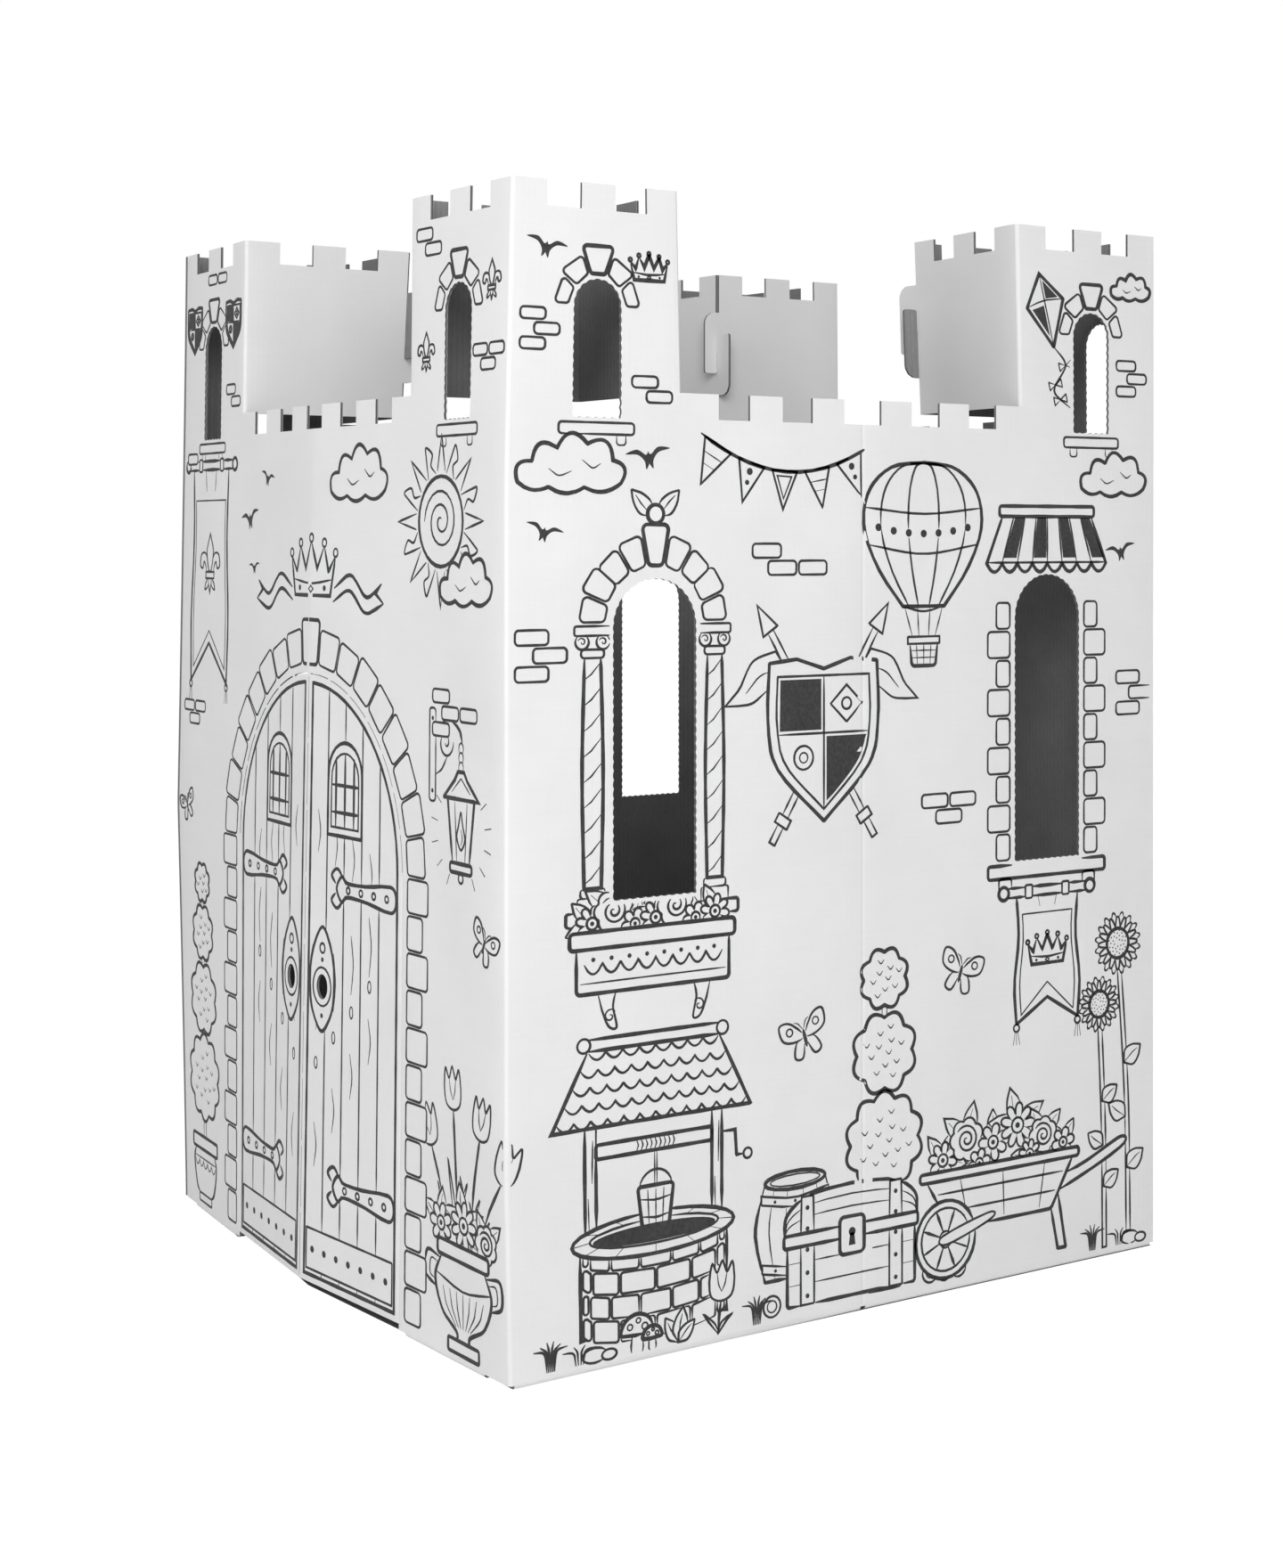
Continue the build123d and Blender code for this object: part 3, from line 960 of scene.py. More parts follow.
def scallops(marks, level, bulge):
    """A level row of bumps between marks."""
    return bumpy(np.column_stack([marks, np.full(len(marks), level)]), bulge, closed=False)


def star_round(x, y, low, high, count, power, turn=0.0):
    """A closed line round a point whose distance swings from low to high a number of times."""
    angle = np.linspace(0, 2 * math.pi, count * 12, endpoint=False)
    swing = np.abs(np.sin(count * angle / 2)) ** power
    reach = low + (high - low) * swing
    angle = angle + math.radians(turn)
    return np.column_stack([x + reach * np.cos(angle), y + reach * np.sin(angle)])


def spiral(x, y, radius, turns, start=0.0):
    """A line that winds out from a point at an even rate."""
    share = np.linspace(0.08, 1, int(turns * 18))
    angle = math.radians(start) + 2 * math.pi * turns * share
    reach = radius * share
    return np.column_stack([x + reach * np.cos(angle), y + reach * np.sin(angle)])


class Stroke:
    """A line of even samples with a pen width."""

    def __init__(self, points, width, closed):
        self.points = points
        self.width = width
        self.closed = closed
        self.low = points.min(axis=0)
        self.high = points.max(axis=0)

    def without(self, hidden):
        """The runs of the line that aren't hidden, as new strokes."""
        if not hidden.any():
            return [self]
        points = self.points
        if self.closed:
            start = int(hidden.argmax())
            points = np.roll(points, -start, axis=0)
            hidden = np.roll(hidden, -start)
        breaks = np.flatnonzero(np.diff(hidden.astype(int))) + 1
        runs = np.split(np.arange(len(points)), breaks)
        return [
            Stroke(points[run], self.width, False)
            for run in runs
            if len(run) > 2 and not hidden[run[0]]
        ]

    def carried(self):
        """The samples that carry the line's bends, by the turn and the run since the last."""
        points = self.points
        if self.closed:
            points = np.concatenate([points, points[:1]])
        step = np.diff(points, axis=0)
        angle = np.unwrap(np.arctan2(step[:, 1], step[:, 0]))
        kept = [0]
        for i in range(1, len(points) - 1):
            if abs(angle[i] - angle[kept[-1]]) > BEND_KEPT or i - kept[-1] >= RUN_KEPT:
                kept.append(i)
        if not self.closed:
            kept.append(len(points) - 1)
        return points[kept], np.array(kept) * SAMPLE, (len(points) - 1) * SAMPLE


class Drawing:
    """The strokes and solid areas of one blank, in its flat layout."""

    def __init__(self):
        self.strokes = []
        self.solids = []

    def clear(self, hides, low, high):
        """Takes out what a test hides, between two corners of the layout."""
        kept = []
        for stroke in self.strokes:
            if (stroke.low > high).any() or (stroke.high < low).any():
                kept.append(stroke)
            else:
                kept += stroke.without(hides(stroke.points))
        self.strokes = kept
        self.solids = [loop for loop in self.solids if not hides(loop.mean(axis=0)[None])[0]]


class Art:
    """A pen on a drawing, with its own origin, size, turn and handedness."""

    def __init__(self, drawing, basis=((1.0, 0.0), (0.0, 1.0)), origin=(0.0, 0.0)):
        self.drawing = drawing
        self.basis = np.array(basis)
        self.origin = np.array(origin)

    def at(self, x, y, size=1.0, turn=0.0, flip=False):
        """A pen whose drawing is mirrored if asked, then scaled, turned by degrees and moved."""
        angle = math.radians(turn)
        cos, sin = math.cos(angle) * size, math.sin(angle) * size
        step = np.array([[cos, sin], [-sin, cos]])
        if flip:
            step[0] *= -1
        return Art(self.drawing, step @ self.basis, self.flat([(x, y)])[0])

    def halves(self):
        """Two pens at this place, a mirrored one and a plain one."""
        return self.at(0, 0, flip=True), self.at(0, 0)

    def flat(self, points):
        return np.asarray(points, float) @ self.basis + self.origin

    def line(self, points, width=DETAIL, closed=False):
        samples = resample(self.flat(points), SAMPLE, closed)
        self.drawing.strokes.append(Stroke(samples, width, closed))

    def sweep(self, points, width=DETAIL):
        """A smooth line through points."""
        self.line(curve(points), width)

    def cover(self, outline):
        """Hides what was drawn inside an outline, which is given back in the flat layout."""
        loop = self.flat(outline)
        self.drawing.clear(lambda p: inside(p, [loop]), loop.min(axis=0), loop.max(axis=0))
        return loop

    def shape(self, outline, width=DETAIL):
        """A closed outline that hides what was drawn behind it."""
        self.cover(outline)
        self.line(outline, width, closed=True)

    def soft(self, points, width=DETAIL):
        """A smooth closed shape through points."""
        self.shape(curve(points, closed=True), width)

    def solid(self, outline):
        """An area of full ink."""
        loop = self.cover(outline)
        self.drawing.solids.append(loop)

    def circle(self, x, y, radius, width=DETAIL, tall=None):
        self.shape(ellipse_outline((x, y), radius, tall or radius), width)

    def dot(self, x, y, radius, tall=None):
        self.solid(ellipse_outline((x, y), radius, tall or radius, 16))

    def box(self, left, low, right, high, width=DETAIL, soft=0.0):
        corners = quad(left, low, right, high)
        self.shape(rounded(corners, [soft] * 4) if soft else corners, width)

    def ray(self, x, y, near, far, turn, width=FINE):
        """A straight mark that points away from (x, y)."""
        way = np.array([math.cos(math.radians(turn)), math.sin(math.radians(turn))])
        self.line([(x, y) + way * near, (x, y) + way * far], width)


# Plants

def leaf(art, x, y, length, turn, fat=0.24):
    """A pointed leaf with its midrib, growing from (x, y)."""
    pen = art.at(x, y, length, turn)
    side = curve([(0, 0), (0.3, fat), (0.68, 0.8 * fat), (1, 0)])
    pen.shape(np.concatenate([side, (side * [1, -1])[::-1]]))
    pen.sweep([(0.02, 0), (0.45, 0.03), (0.8, 0)], FINE)


def blossom(art, x, y, radius, petals=8, turn=0.0):
    """An open flower: round petals about a ringed middle."""
    art.shape(star_round(x, y, 0.52 * radius, radius, petals, 0.6, turn))
    for k in range(petals):
        art.ray(x, y, 0.36 * radius, 0.6 * radius, turn + k * 360 / petals)
    art.circle(x, y, 0.34 * radius)
    art.dot(x, y, 0.13 * radius)


def rose(art, x, y, radius):
    """A full flower: wavy outer petals about a wound middle."""
    art.shape(star_round(x, y, 0.84 * radius, radius, 7, 0.8))
    art.line(spiral(x, y, 0.68 * radius, 2.4))


def tulip(art, x, y, tall, lean=0.0):
    """A tulip on a bent stem between two long leaves."""
    pen = art.at(x, y)
    pen.sweep([(0, 0), (0.3 * lean, 0.5 * tall), (lean, tall)], OUTLINE)
    for way, reach in ((-1, 0.62), (1, 0.5)):
        blade = [(0, 0), (way * 9, 0.3 * tall), (way * 17, reach * tall), (way * 4, 0.3 * tall)]
        pen.soft(blade)
    cup = pen.at(lean, tall, turn=-0.5 * lean)
    rim = [(0, -3), (12, 2), (15, 17), (12, 34), (6, 25), (0, 36)]
    cup.soft(both_sides(rim))
    for way in (1, -1):
        cup.sweep([(way * 6, 25), (way * 4, 14), (0, 6)], FINE)


def grass(art, x, y, blades=5, tall=26.0):
    """A tuft of grass: blades that fan out from one foot."""
    for k in range(blades):
        t = k / (blades - 1) - 0.5
        tip = (x + 36 * t, y + tall * (1 - 0.6 * abs(t)))
        art.sweep([(x + 8 * t, y), (x + 13 * t, y + 0.6 * tall), tip])


def mushroom(art, x, y, size):
    """A mushroom with spots on its cap."""
    pen = art.at(x, y, size)
    pen.soft([(-0.17, 0), (-0.12, 0.55), (0.12, 0.55), (0.17, 0)])
    cap = [(0, 1), (0.36, 0.86), (0.5, 0.52), (0.24, 0.46), (0, 0.44)]
    pen.soft(both_sides(cap), OUTLINE)
    for spot_x, spot_y, radius in ((-0.22, 0.68, 0.08), (0.04, 0.82, 0.07), (0.24, 0.64, 0.09)):
        pen.circle(spot_x, spot_y, radius, FINE)


def sunflower(art, x, y, tall, radius, lean=0.0):
    """A tall sunflower: ribbed leaves, two rows of petals, seeds in a golden-angle spiral."""
    pen = art.at(x, y)
    stem = curve([(0, 0), (0.2 * lean, 0.5 * tall), (lean, tall)])
    pen.shape(np.concatenate([stem + [-3, 0], (stem + [3, 0])[::-1]]))
    for share, way in ((0.25, 1), (0.42, -1), (0.6, 1)):
        leaf(pen, 0.7 * share * lean, share * tall, 0.9 * radius, 90 - way * 55, 0.34)
    pen.shape(star_round(lean, tall, 0.62 * radius, radius, 16, 1.0))
    pen.shape(star_round(lean, tall, 0.5 * radius, 0.86 * radius, 16, 1.0, 11))
    pen.circle(lean, tall, 0.48 * radius, OUTLINE)
    for k in range(2, 34):
        reach = 0.073 * radius * math.sqrt(k)
        angle = math.radians(GOLDEN_ANGLE * k)
        pen.dot(lean + reach * math.cos(angle), tall + reach * math.sin(angle), 0.026 * radius)


def pot(art, wide, tall):
    """A footed pot: rim, round body with a row of arches, and foot."""
    body = curve([(0.36, 0.84), (0.46, 0.6), (0.36, 0.22), (0.2, 0.1)]) * [wide, tall]
    art.shape(mirrored(body), OUTLINE)
    art.box(-0.26 * wide, 0, 0.26 * wide, 0.12 * tall, DETAIL, 2.0)
    art.box(-0.5 * wide, 0.8 * tall, 0.5 * wide, tall, OUTLINE, 3.0)
    art.line(scallops(np.linspace(-0.42, 0.42, 6) * wide, 0.62 * tall, 0.5), FINE)
    art.line(np.array([(-0.44, 0.66), (0.44, 0.66)]) * [wide, tall], FINE)


def clipped_tree(art, balls):
    """A tree clipped into balls, in a pot: each ball is (height, radius)."""
    for way in (-1, 1):
        art.line([(way * 4, 60), (way * 3, balls[-1][0])])
    for level, radius in balls:
        count = max(int(radius / 4.2), 8)
        angle = np.linspace(0, 2 * math.pi, count, endpoint=False)
        ring = np.column_stack([radius * np.cos(angle), level + radius * np.sin(angle)])
        art.shape(bumpy(ring, 0.34), OUTLINE)
        for k in range(int(radius / 3)):
            reach = 0.78 * radius * math.sqrt((k + 0.5) * 3 / radius)
            spin = math.radians(GOLDEN_ANGLE * k)
            x, y = reach * math.cos(spin), level + reach * math.sin(spin)
            art.sweep([(x - 4, y + 2), (x, y - 2), (x + 4, y + 2)], FINE)
    pot(art, 84, 76)


def bouquet(art, spots):
    """Flowers over leaves: each spot is (x, y, radius, petals), no petals for a wound rose."""
    for x, y, radius, _ in spots:
        for turn in (25, 100, 165):
            leaf(art, x, y, 1.75 * radius, turn + 0.4 * x)
    for x, y, radius, petals in spots:
        if petals:
            blossom(art, x, y, radius, petals, 7.0 * petals)
        else:
            rose(art, x, y, radius)


def urn(art):
    """A garden urn with handles and tall flowers."""
    for x, tall, lean in ((-26, 150, -30), (-8, 190, -8), (14, 172, 18), (30, 140, 38)):
        tulip(art, x, 92, tall - 60, lean)
    bouquet(art, [(-38, 112, 19, 7), (2, 118, 22, 9), (40, 110, 18, 0)])
    body = curve([(34, 88), (48, 62), (36, 34), (12, 20), (10, 12)])
    for side in art.halves():
        side.sweep([(40, 80), (62, 82), (64, 60), (46, 52)], OUTLINE)
        side.sweep([(40, 74), (55, 76), (57, 62), (47, 58)], FINE)
    art.shape(mirrored(body), OUTLINE)
    art.box(-44, 84, 44, 98, OUTLINE, 4.0)
    art.box(-26, 0, 26, 12, OUTLINE, 2.0)
    art.sweep([(-46, 66), (0, 58), (46, 66)])
    for k in range(-3, 4):
        art.sweep([(k * 11.5, 56), (k * 9.5, 40), (k * 4, 24)], FINE)


# Sky and cloth

def cloud(art, x, y, wide):
    """A cloud: bumps of growing and falling size over a flat foot."""
    pen = art.at(x, y, wide)
    crown_line = [(0.5, 0), (0.42, 0.2), (0.17, 0.34), (-0.12, 0.3), (-0.36, 0.18), (-0.5, 0)]
    over = bumpy(crown_line, 0.38, closed=False)
    under = bumpy([(-0.5, 0), (-0.2, -0.04), (0.14, -0.04), (0.5, 0)], 0.16, closed=False)
    pen.shape(np.concatenate([over, under[1:-1]]), OUTLINE)
    pen.sweep([(-0.2, 0.12), (-0.1, 0.06), (0.02, 0.1)], FINE)
    pen.sweep([(0.12, 0.2), (0.22, 0.13), (0.3, 0.17)], FINE)


def sun(art, x, y, radius):
    """A sun: straight and wavy rays by turns about a wound disc."""
    for k in range(16):
        pen = art.at(x, y, radius, k * 22.5)
        if k % 2:
            flame = [(0.6, -0.1), (0.74, -0.02), (0.86, -0.1), (1, 0.02), (0.86, 0.06), (0.6, 0.1)]
            pen.sweep(flame)
        else:
            pen.line([(0.62, -0.1), (1.08, 0), (0.62, 0.1)])
    art.circle(x, y, 0.56 * radius, OUTLINE)
    art.line(spiral(x, y, 0.42 * radius, 2.5))


def swift(art, x, y, size, turn=0.0):
    """A far bird in full ink: two long wings and a forked tail."""
    half = [(0, 5), (3, 2), (12, 8), (25, 5), (12, 3), (5, -4), (4, -12), (0, -7)]
    art.at(x, y, size, turn).solid(curve(mirrored(half), closed=True, parts=5))


def butterfly(art, x, y, size, turn=0.0):
    """A butterfly: two pairs of wings with a spot each, and feelers."""
    pen = art.at(x, y, size, turn)
    for side in pen.halves():
        side.soft([(1, 0), (10, -3), (14, -14), (6, -16)])
        side.soft([(1, 2), (12, 16), (23, 17), (22, 4), (10, -1)])
        side.circle(14, 9, 3.2, FINE)
        side.sweep([(0.5, 7), (4, 13), (8, 15)], FINE)
    pen.dot(0, -1, 1.8, 8)


def bunting(art, start, end, sag, flags):
    """Flags on a hanging rope: plain, striped and dotted ones by turns."""
    start, end = np.array(start, float), np.array(end, float)

    def rope(t):
        t = np.asarray(t)[:, None]
        return start + (end - start) * t - np.array([0, sag]) * 4 * t * (1 - t)

    for k in range(flags):
        left, right = rope([(k + 0.12) / flags, (k + 0.88) / flags])
        wide = right - left
        tip = (left + right) / 2 + np.array([wide[1], -wide[0]]) * 1.25
        art.shape([left, tip, right])
        if k % 3 == 0:
            for share in (0.3, 0.55):
                art.line([left + (tip - left) * share, right + (tip - right) * share], FINE)
        elif k % 3 == 1:
            middle = (left + right) / 2
            for share, radius in ((0.22, 3.6), (0.5, 2.6)):
                art.dot(*(middle + (tip - middle) * share), radius)
        else:
            inner = [p + (middle_of(left, right, tip) - p) * 0.42 for p in (left, tip, right)]
            art.line(inner, FINE, closed=True)
    art.line(rope(np.linspace(0, 1, 60)), OUTLINE)


def middle_of(*points):
    return sum(points) / len(points)


def kite(art, x, y, size, turn, sway):
    """A kite with crossed spars and bows down its tail."""
    pen = art.at(x, y, size, turn)
    path = curve([(0, -1.1), (sway, -1.7), (-sway, -2.3), (0.6 * sway, -2.9)])
    pen.line(path)
    for k in (8, 14, 20):
        for way in (-1, 1):
            pen.shape(path[k] + [(0, 0), (way * 0.24, 0.12), (way * 0.24, -0.12)], FINE)
    pen.shape([(0, 1), (0.68, 0.15), (0, -1.1), (-0.68, 0.15)], OUTLINE)
    pen.line([(0, 1), (0, -1.1)], FINE)
    pen.sweep([(-0.68, 0.15), (0, 0.24), (0.68, 0.15)], FINE)
    pen.solid([(0.06, 0.28), (0.5, 0.24), (0.06, 0.8)])
    pen.solid([(-0.06, 0.1), (-0.5, 0.06), (-0.06, -0.78)])


def balloon(art, x, y, tall):
    """A hot-air balloon: gores narrowing to the mouth, a patterned belt, a wicker basket."""
    pen = art.at(x, y, tall)
    half = curve([(0, 1), (0.2, 0.975), (0.34, 0.86), (0.37, 0.68), (0.28, 0.48), (0.13, 0.3)])
    for way in (-1, 1):
        pen.line([(way * 0.12, 0.3), (way * 0.07, 0.15)], FINE)
        pen.line([(way * 0.04, 0.3), (way * 0.03, 0.15)], FINE)
    pen.shape(mirrored(half), OUTLINE)
    for share in (-0.72, -0.26, 0.26, 0.72):
        pen.line(half * [share, 1])
    for level, depth in ((0.78, 0.03), (0.6, 0.045)):
        reach = np.interp(level, half[::-1, 1], half[::-1, 0])
        pen.sweep([(-reach, level), (0, level - depth), (reach, level)])
    for k in range(-3, 4):
        pen.dot(0.094 * k, 0.654 + 0.03 * (k / 3) ** 2, 0.019)
    pen.sweep([(-0.13, 0.3), (0, 0.275), (0.13, 0.3)])
    basket = rounded([(-0.075, 0.01), (0.075, 0.01), (0.09, 0.15), (-0.09, 0.15)], [0.02] * 4)
    pen.shape(basket, OUTLINE)
    for level in (0.05, 0.085):
        pen.line([(-0.078, level), (0.078, level)], FINE)
    for place_x in (-0.04, 0, 0.04):
        pen.line([(place_x, 0.02), (1.15 * place_x, 0.115)], FINE)
    pen.box(-0.1, 0.118, 0.1, 0.152)


def lily_emblem(art, x, y, size):
    """A three-leaved heraldic lily held by a band."""
    pen = art.at(x, y, size)
    petal = curve([(0, 1), (0.15, 0.72), (0.13, 0.5), (0.05, 0.3)])
    for side in pen.halves():
        curl = [(0.06, 0.3), (0.2, 0.62), (0.42, 0.62), (0.48, 0.42), (0.36, 0.36), (0.3, 0.48),
                (0.22, 0.42), (0.14, 0.26)]
        side.soft(curl)
        side.soft([(0.05, 0.18), (0.2, 0.08), (0.24, -0.04), (0.1, 0.02)])
    pen.shape(mirrored(petal))
    pen.shape(mirrored([(0.06, 0.2), (0.07, 0.08), (0, -0.1)]))
    pen.box(-0.2, 0.17, 0.2, 0.29)


def crown(art, x, y, wide):
    """A crown of five points with balls on them and jewels on its band."""
    pen = art.at(x, y, wide)
    tips = [(0.5, 0.4), (0.27, 0.5), (0, 0.55), (-0.27, 0.5), (-0.5, 0.4)]
    valleys = [(0.36, 0.24), (0.13, 0.27), (-0.13, 0.27), (-0.36, 0.24)]
    top = [point for pair in zip(tips, valleys) for point in pair] + tips[-1:]
    pen.shape([(-0.4, 0), (0.4, 0)] + top, OUTLINE)
    pen.sweep([(-0.42, 0.16), (0, 0.12), (0.42, 0.16)])
    for tip_x, tip_y in tips:
        pen.circle(tip_x, tip_y + 0.03, 0.042)
    for jewel in (-0.28, 0.28):
        pen.dot(jewel, 0.075, 0.03)
    pen.line([(0, 0.1), (0.05, 0.065), (0, 0.03), (-0.05, 0.065)], FINE, closed=True)


def banner(art, x, top, wide, tall, emblem):
    """A cloth banner on a rod: forked foot, double border, folds and tassels."""
    pen = art.at(x, top)
    half = wide / 2
    sway = curve([(half, -4), (half - 3, -0.35 * tall), (half + 3, -0.7 * tall), (half, -tall)])
    pen.shape(mirrored(np.concatenate([sway, [(0, -0.82 * tall)]])), OUTLINE)
    inset = 1 - 14 / wide
    border = np.concatenate([sway[3:-1], [(0, -0.86 * tall + 20)], (sway * [-1, 1])[-2:2:-1]])
    pen.line((border + [0, 0.5 * tall]) * [inset, 0.94] - [0, 0.5 * tall], FINE, closed=True)
    for way in (-1, 1):
        pen.sweep([(way * 0.3 * half, -6), (way * 0.24 * half, -0.12 * tall)], FINE)
        knot = pen.at(way * half, -tall)
        knot.circle(0, -4, 4)
        for k in (-1, 0, 1):
            knot.line([(2 * k, -8), (4.5 * k, -22)], FINE)
    pen.box(-half - 14, -5, half + 14, 5, OUTLINE, 3.0)
    for way in (-1, 1):
        pen.circle(way * (half + 18), 0, 7, OUTLINE)
        pen.box(way * 0.6 * half - 5, -7, way * 0.6 * half + 5, 7, DETAIL, 2.0)
    emblem(pen.at(0, -0.46 * tall))


def shield(art, x, y, tall):
    """A quartered shield: two quarters in full ink, two with small emblems."""
    pen = art.at(x, y, tall)
    side = curve([(0.4, 0.94), (0.41, 0.6), (0.34, 0.32), (0, 0)])
    pen.shape(mirrored(np.concatenate([[(0, 0.9), (0.2, 0.96)], side])), OUTLINE)
    inner = curve([(0.34, 0.86), (0.345, 0.58), (0.28, 0.34), (0, 0.07)])
    lower = inner[inner[:, 1] < 0.5]
    pen.line(mirrored(inner), closed=True)
    pen.solid([(-0.02, 0.84), (-0.32, 0.84), (-0.325, 0.54), (-0.02, 0.54)])
    pen.solid(np.concatenate([[(0.02, 0.5), (0.32, 0.5)], lower[1:-2] * [0.94, 1] + [0, 0.02],
                              [(0.02, 0.12)]]))
    pen.line([(0, 0.86), (0, 0.08)])
    pen.line([(-0.33, 0.52), (0.33, 0.52)])
    pen.line([(0.17, 0.8), (0.29, 0.69), (0.17, 0.58), (0.05, 0.69)], closed=True)
    pen.circle(0.17, 0.69, 0.035)
    pen.circle(-0.15, 0.38, 0.07)
    pen.circle(-0.15, 0.38, 0.03, FINE)


def crossed_arms(art, x, y, size):
    """A shield before two crossed lances with pennons."""
    pen = art.at(x, y, size)
    for way in (-1, 1):
        lance = pen.at(0, 0.5, 1.0, -way * 32, flip=way < 0)
        flag = curve([(0.03, 0.62), (0.2, 0.66), (0.36, 0.58), (0.5, 0.55)])
        under = curve([(0.5, 0.55), (0.34, 0.46), (0.2, 0.46), (0.03, 0.42)])
        lance.shape(np.concatenate([flag, under]))
        lance.sweep([(0.06, 0.52), (0.2, 0.56), (0.34, 0.53)], FINE)
        lance.box(-0.022, -0.72, 0.022, 0.74)
        lance.shape([(0.06, 0.74), (0, 0.92), (-0.06, 0.74)])
        lance.box(-0.05, -0.6, 0.05, -0.54)
    shield(pen, 0, 0, 1.0)


# Masonry and windows

STONE_GAP = 1.5
DOOR_MARGIN = 9.0


def stone(art, corners, soft=4.5, width=DETAIL):
    """One stone: a cornered outline drawn in from its joints, with soft corners."""
    corners = np.array(corners, float)
    inner = corners - np.sign(corners - corners.mean(axis=0)) * STONE_GAP
    art.shape(rounded(inner, [soft] * len(inner)), width)


def bricks(art, x, y, courses, long=40.0, tall=18.0):
    """A few bricks of a wall, in courses from the top, each course half a brick over."""
    for row, course in enumerate(courses):
        for column, mark in enumerate(course):
            if mark == "#":
                left = x + column * long + (row % 2) * long / 2
                low = y - (row + 1) * tall
                stone(art, quad(left, low, left + long, low + tall), 4.0)


def quoins(art, x, low, high, way, reaches, count):
    """Stones up an edge, longer and shorter by turns."""
    tall = (high - low) / count
    for k in range(count):
        left, right = sorted((x, x + way * reaches[k % 2]))
        foot = low + k * tall
        stone(art, quad(left, foot, right, foot + tall))


def wedge_stones(art, x, y, inner, outer, count, soft=5.0):
    """Wedge-shaped stones round a half circle, a taller keystone in the middle."""
    step = 180 / count
    for k in range(count):
        key = k == count // 2
        far = outer + (13 if key else 0) + (3 if k % 2 else 0)
        low, high = k * step, (k + 1) * step
        near = arc_points((x, y), inner, low, high, 2)
        top = arc_points((x, y), far, high, low, 2)
        stone(art, np.concatenate([near[::-1], top[::-1]]), soft, OUTLINE if key else DETAIL)


def flower_box(art, x, top, wide):
    """A box of flowers on two brackets under a window."""
    half = wide / 2
    for side in art.at(x, top - 58).halves():
        bracket = side.at(0.62 * half, 0)
        bracket.soft([(-9, 4), (9, 4), (7, -14), (-1, -34), (-10, -36), (-6, -16)])
        bracket.line(spiral(-3, -25, 7, 1.4), FINE)
    count = 7
    spots = []
    for k in range(count):
        share = (k + 0.5) / count - 0.5
        radius = (17, 21, 15)[k % 3]
        spots.append((x + share * 0.94 * wide, top + (6, 16, 2)[k % 3], radius, (8, 0, 6)[k % 3]))
    bouquet(art, spots)
    art.box(x - half, top - 60, x + half, top - 6, OUTLINE, 4.0)
    art.box(x - half - 7, top - 18, x + half + 7, top - 2, OUTLINE, 4.0)
    art.line([(x - half + 4, top - 50), (x + half - 4, top - 50)], FINE)
    arches = np.linspace(x - half + 8, x + half - 8, 9)
    art.line(scallops(arches, top - 32, 0.5))
    for left, right in zip(arches, arches[1:]):
        art.dot((left + right) / 2, top - 28, 2.2)


def column(art, x, low, high):
    """A twisted column between a stepped base and a scrolled capital."""
    art.box(x - 16, low, x + 16, low + 14, DETAIL, 2.0)
    art.box(x - 13, low + 14, x + 13, low + 23, DETAIL, 3.5)
    foot, head = low + 23, high - 30
    side = curve([(9, foot), (11, (foot + head) / 2), (8.5, head)])
    art.shape(mirrored(side) + [x, 0], OUTLINE)
    turns = int((head - foot) / 24)
    for k in range(turns):
        level = foot + 4 + k * 24
        art.sweep([(x - 9.5, level), (x - 1, level + 6), (x + 9.5, level + 18)], FINE)
    art.box(x - 12, head, x + 12, head + 8, DETAIL, 3.0)
    for way in (-1, 1):
        art.circle(x + way * 11, head + 15, 7)
        art.line(spiral(x + way * 11, head + 15, 4.5, 1.2, 90), FINE)
    art.box(x - 19, high - 9, x + 19, high, DETAIL, 2.0)


def column_window(art, x):
    """A wall window between two columns, under a ring of stones, over a box of flowers."""
    sill = WALL_WINDOW[1]
    spring = sill + WALL_WINDOW[2] - WALL_WINDOW[0] / 2
    for way in (-1, 1):
        column(art, x + way * 68, sill - 10, spring + 2)
    art.box(x - 96, sill - 22, x + 96, sill - 9, OUTLINE, 3.0)
    wedge_stones(art, x, spring + 4, 54, 84, 9)
    for way in (-1, 1):
        leaf(art, x + way * 4, spring + 106, 34, 90 - way * 42)
    art.circle(x, spring + 108, 9, OUTLINE)
    flower_box(art, x, sill - 26, 170)


def awning_window(art, x, emblem):
    """A wall window in quoin stones, a striped awning over it and a cloth under its sill."""
    sill = WALL_WINDOW[1]
    half = WALL_WINDOW[0] / 2
    spring = sill + WALL_WINDOW[2] - half
    for way in (-1, 1):
        quoins(art, x + way * (half + 6), sill, spring + 18, way, (22, 34), 9)
    top, foot = spring + 112, spring + 58
    marks = np.linspace(-1, 1, 9)
    hem_line = scallops(x + 86 * marks[::-1], foot, -0.42)
    art.shape(np.concatenate([hem_line, [(x - 62, top), (x + 62, top)]]), OUTLINE)
    art.line([(x - 86, foot + 1), (x + 86, foot + 1)])
    for mark in marks[1:-1]:
        art.line([(x + 86 * mark, foot), (x + 62 * mark, top)])
    for mark in marks[1:-1:2]:
        left, right = mark + 0.02, mark + 0.23
        art.solid([(x + 85 * left, foot + 6), (x + 85 * right, foot + 6),
                   (x + 63 * right, top - 5), (x + 63 * left, top - 5)])
    art.box(x - 68, top - 4, x + 68, top + 7, OUTLINE, 3.0)
    art.box(x - 84, sill - 18, x + 84, sill - 4, OUTLINE, 3.0)
    for way in (-1, 1):
        art.box(x + way * 60 - 9, sill - 36, x + way * 60 + 9, sill - 18, DETAIL, 4.0)
    banner(art, x, sill - 34, 88, 140, emblem)


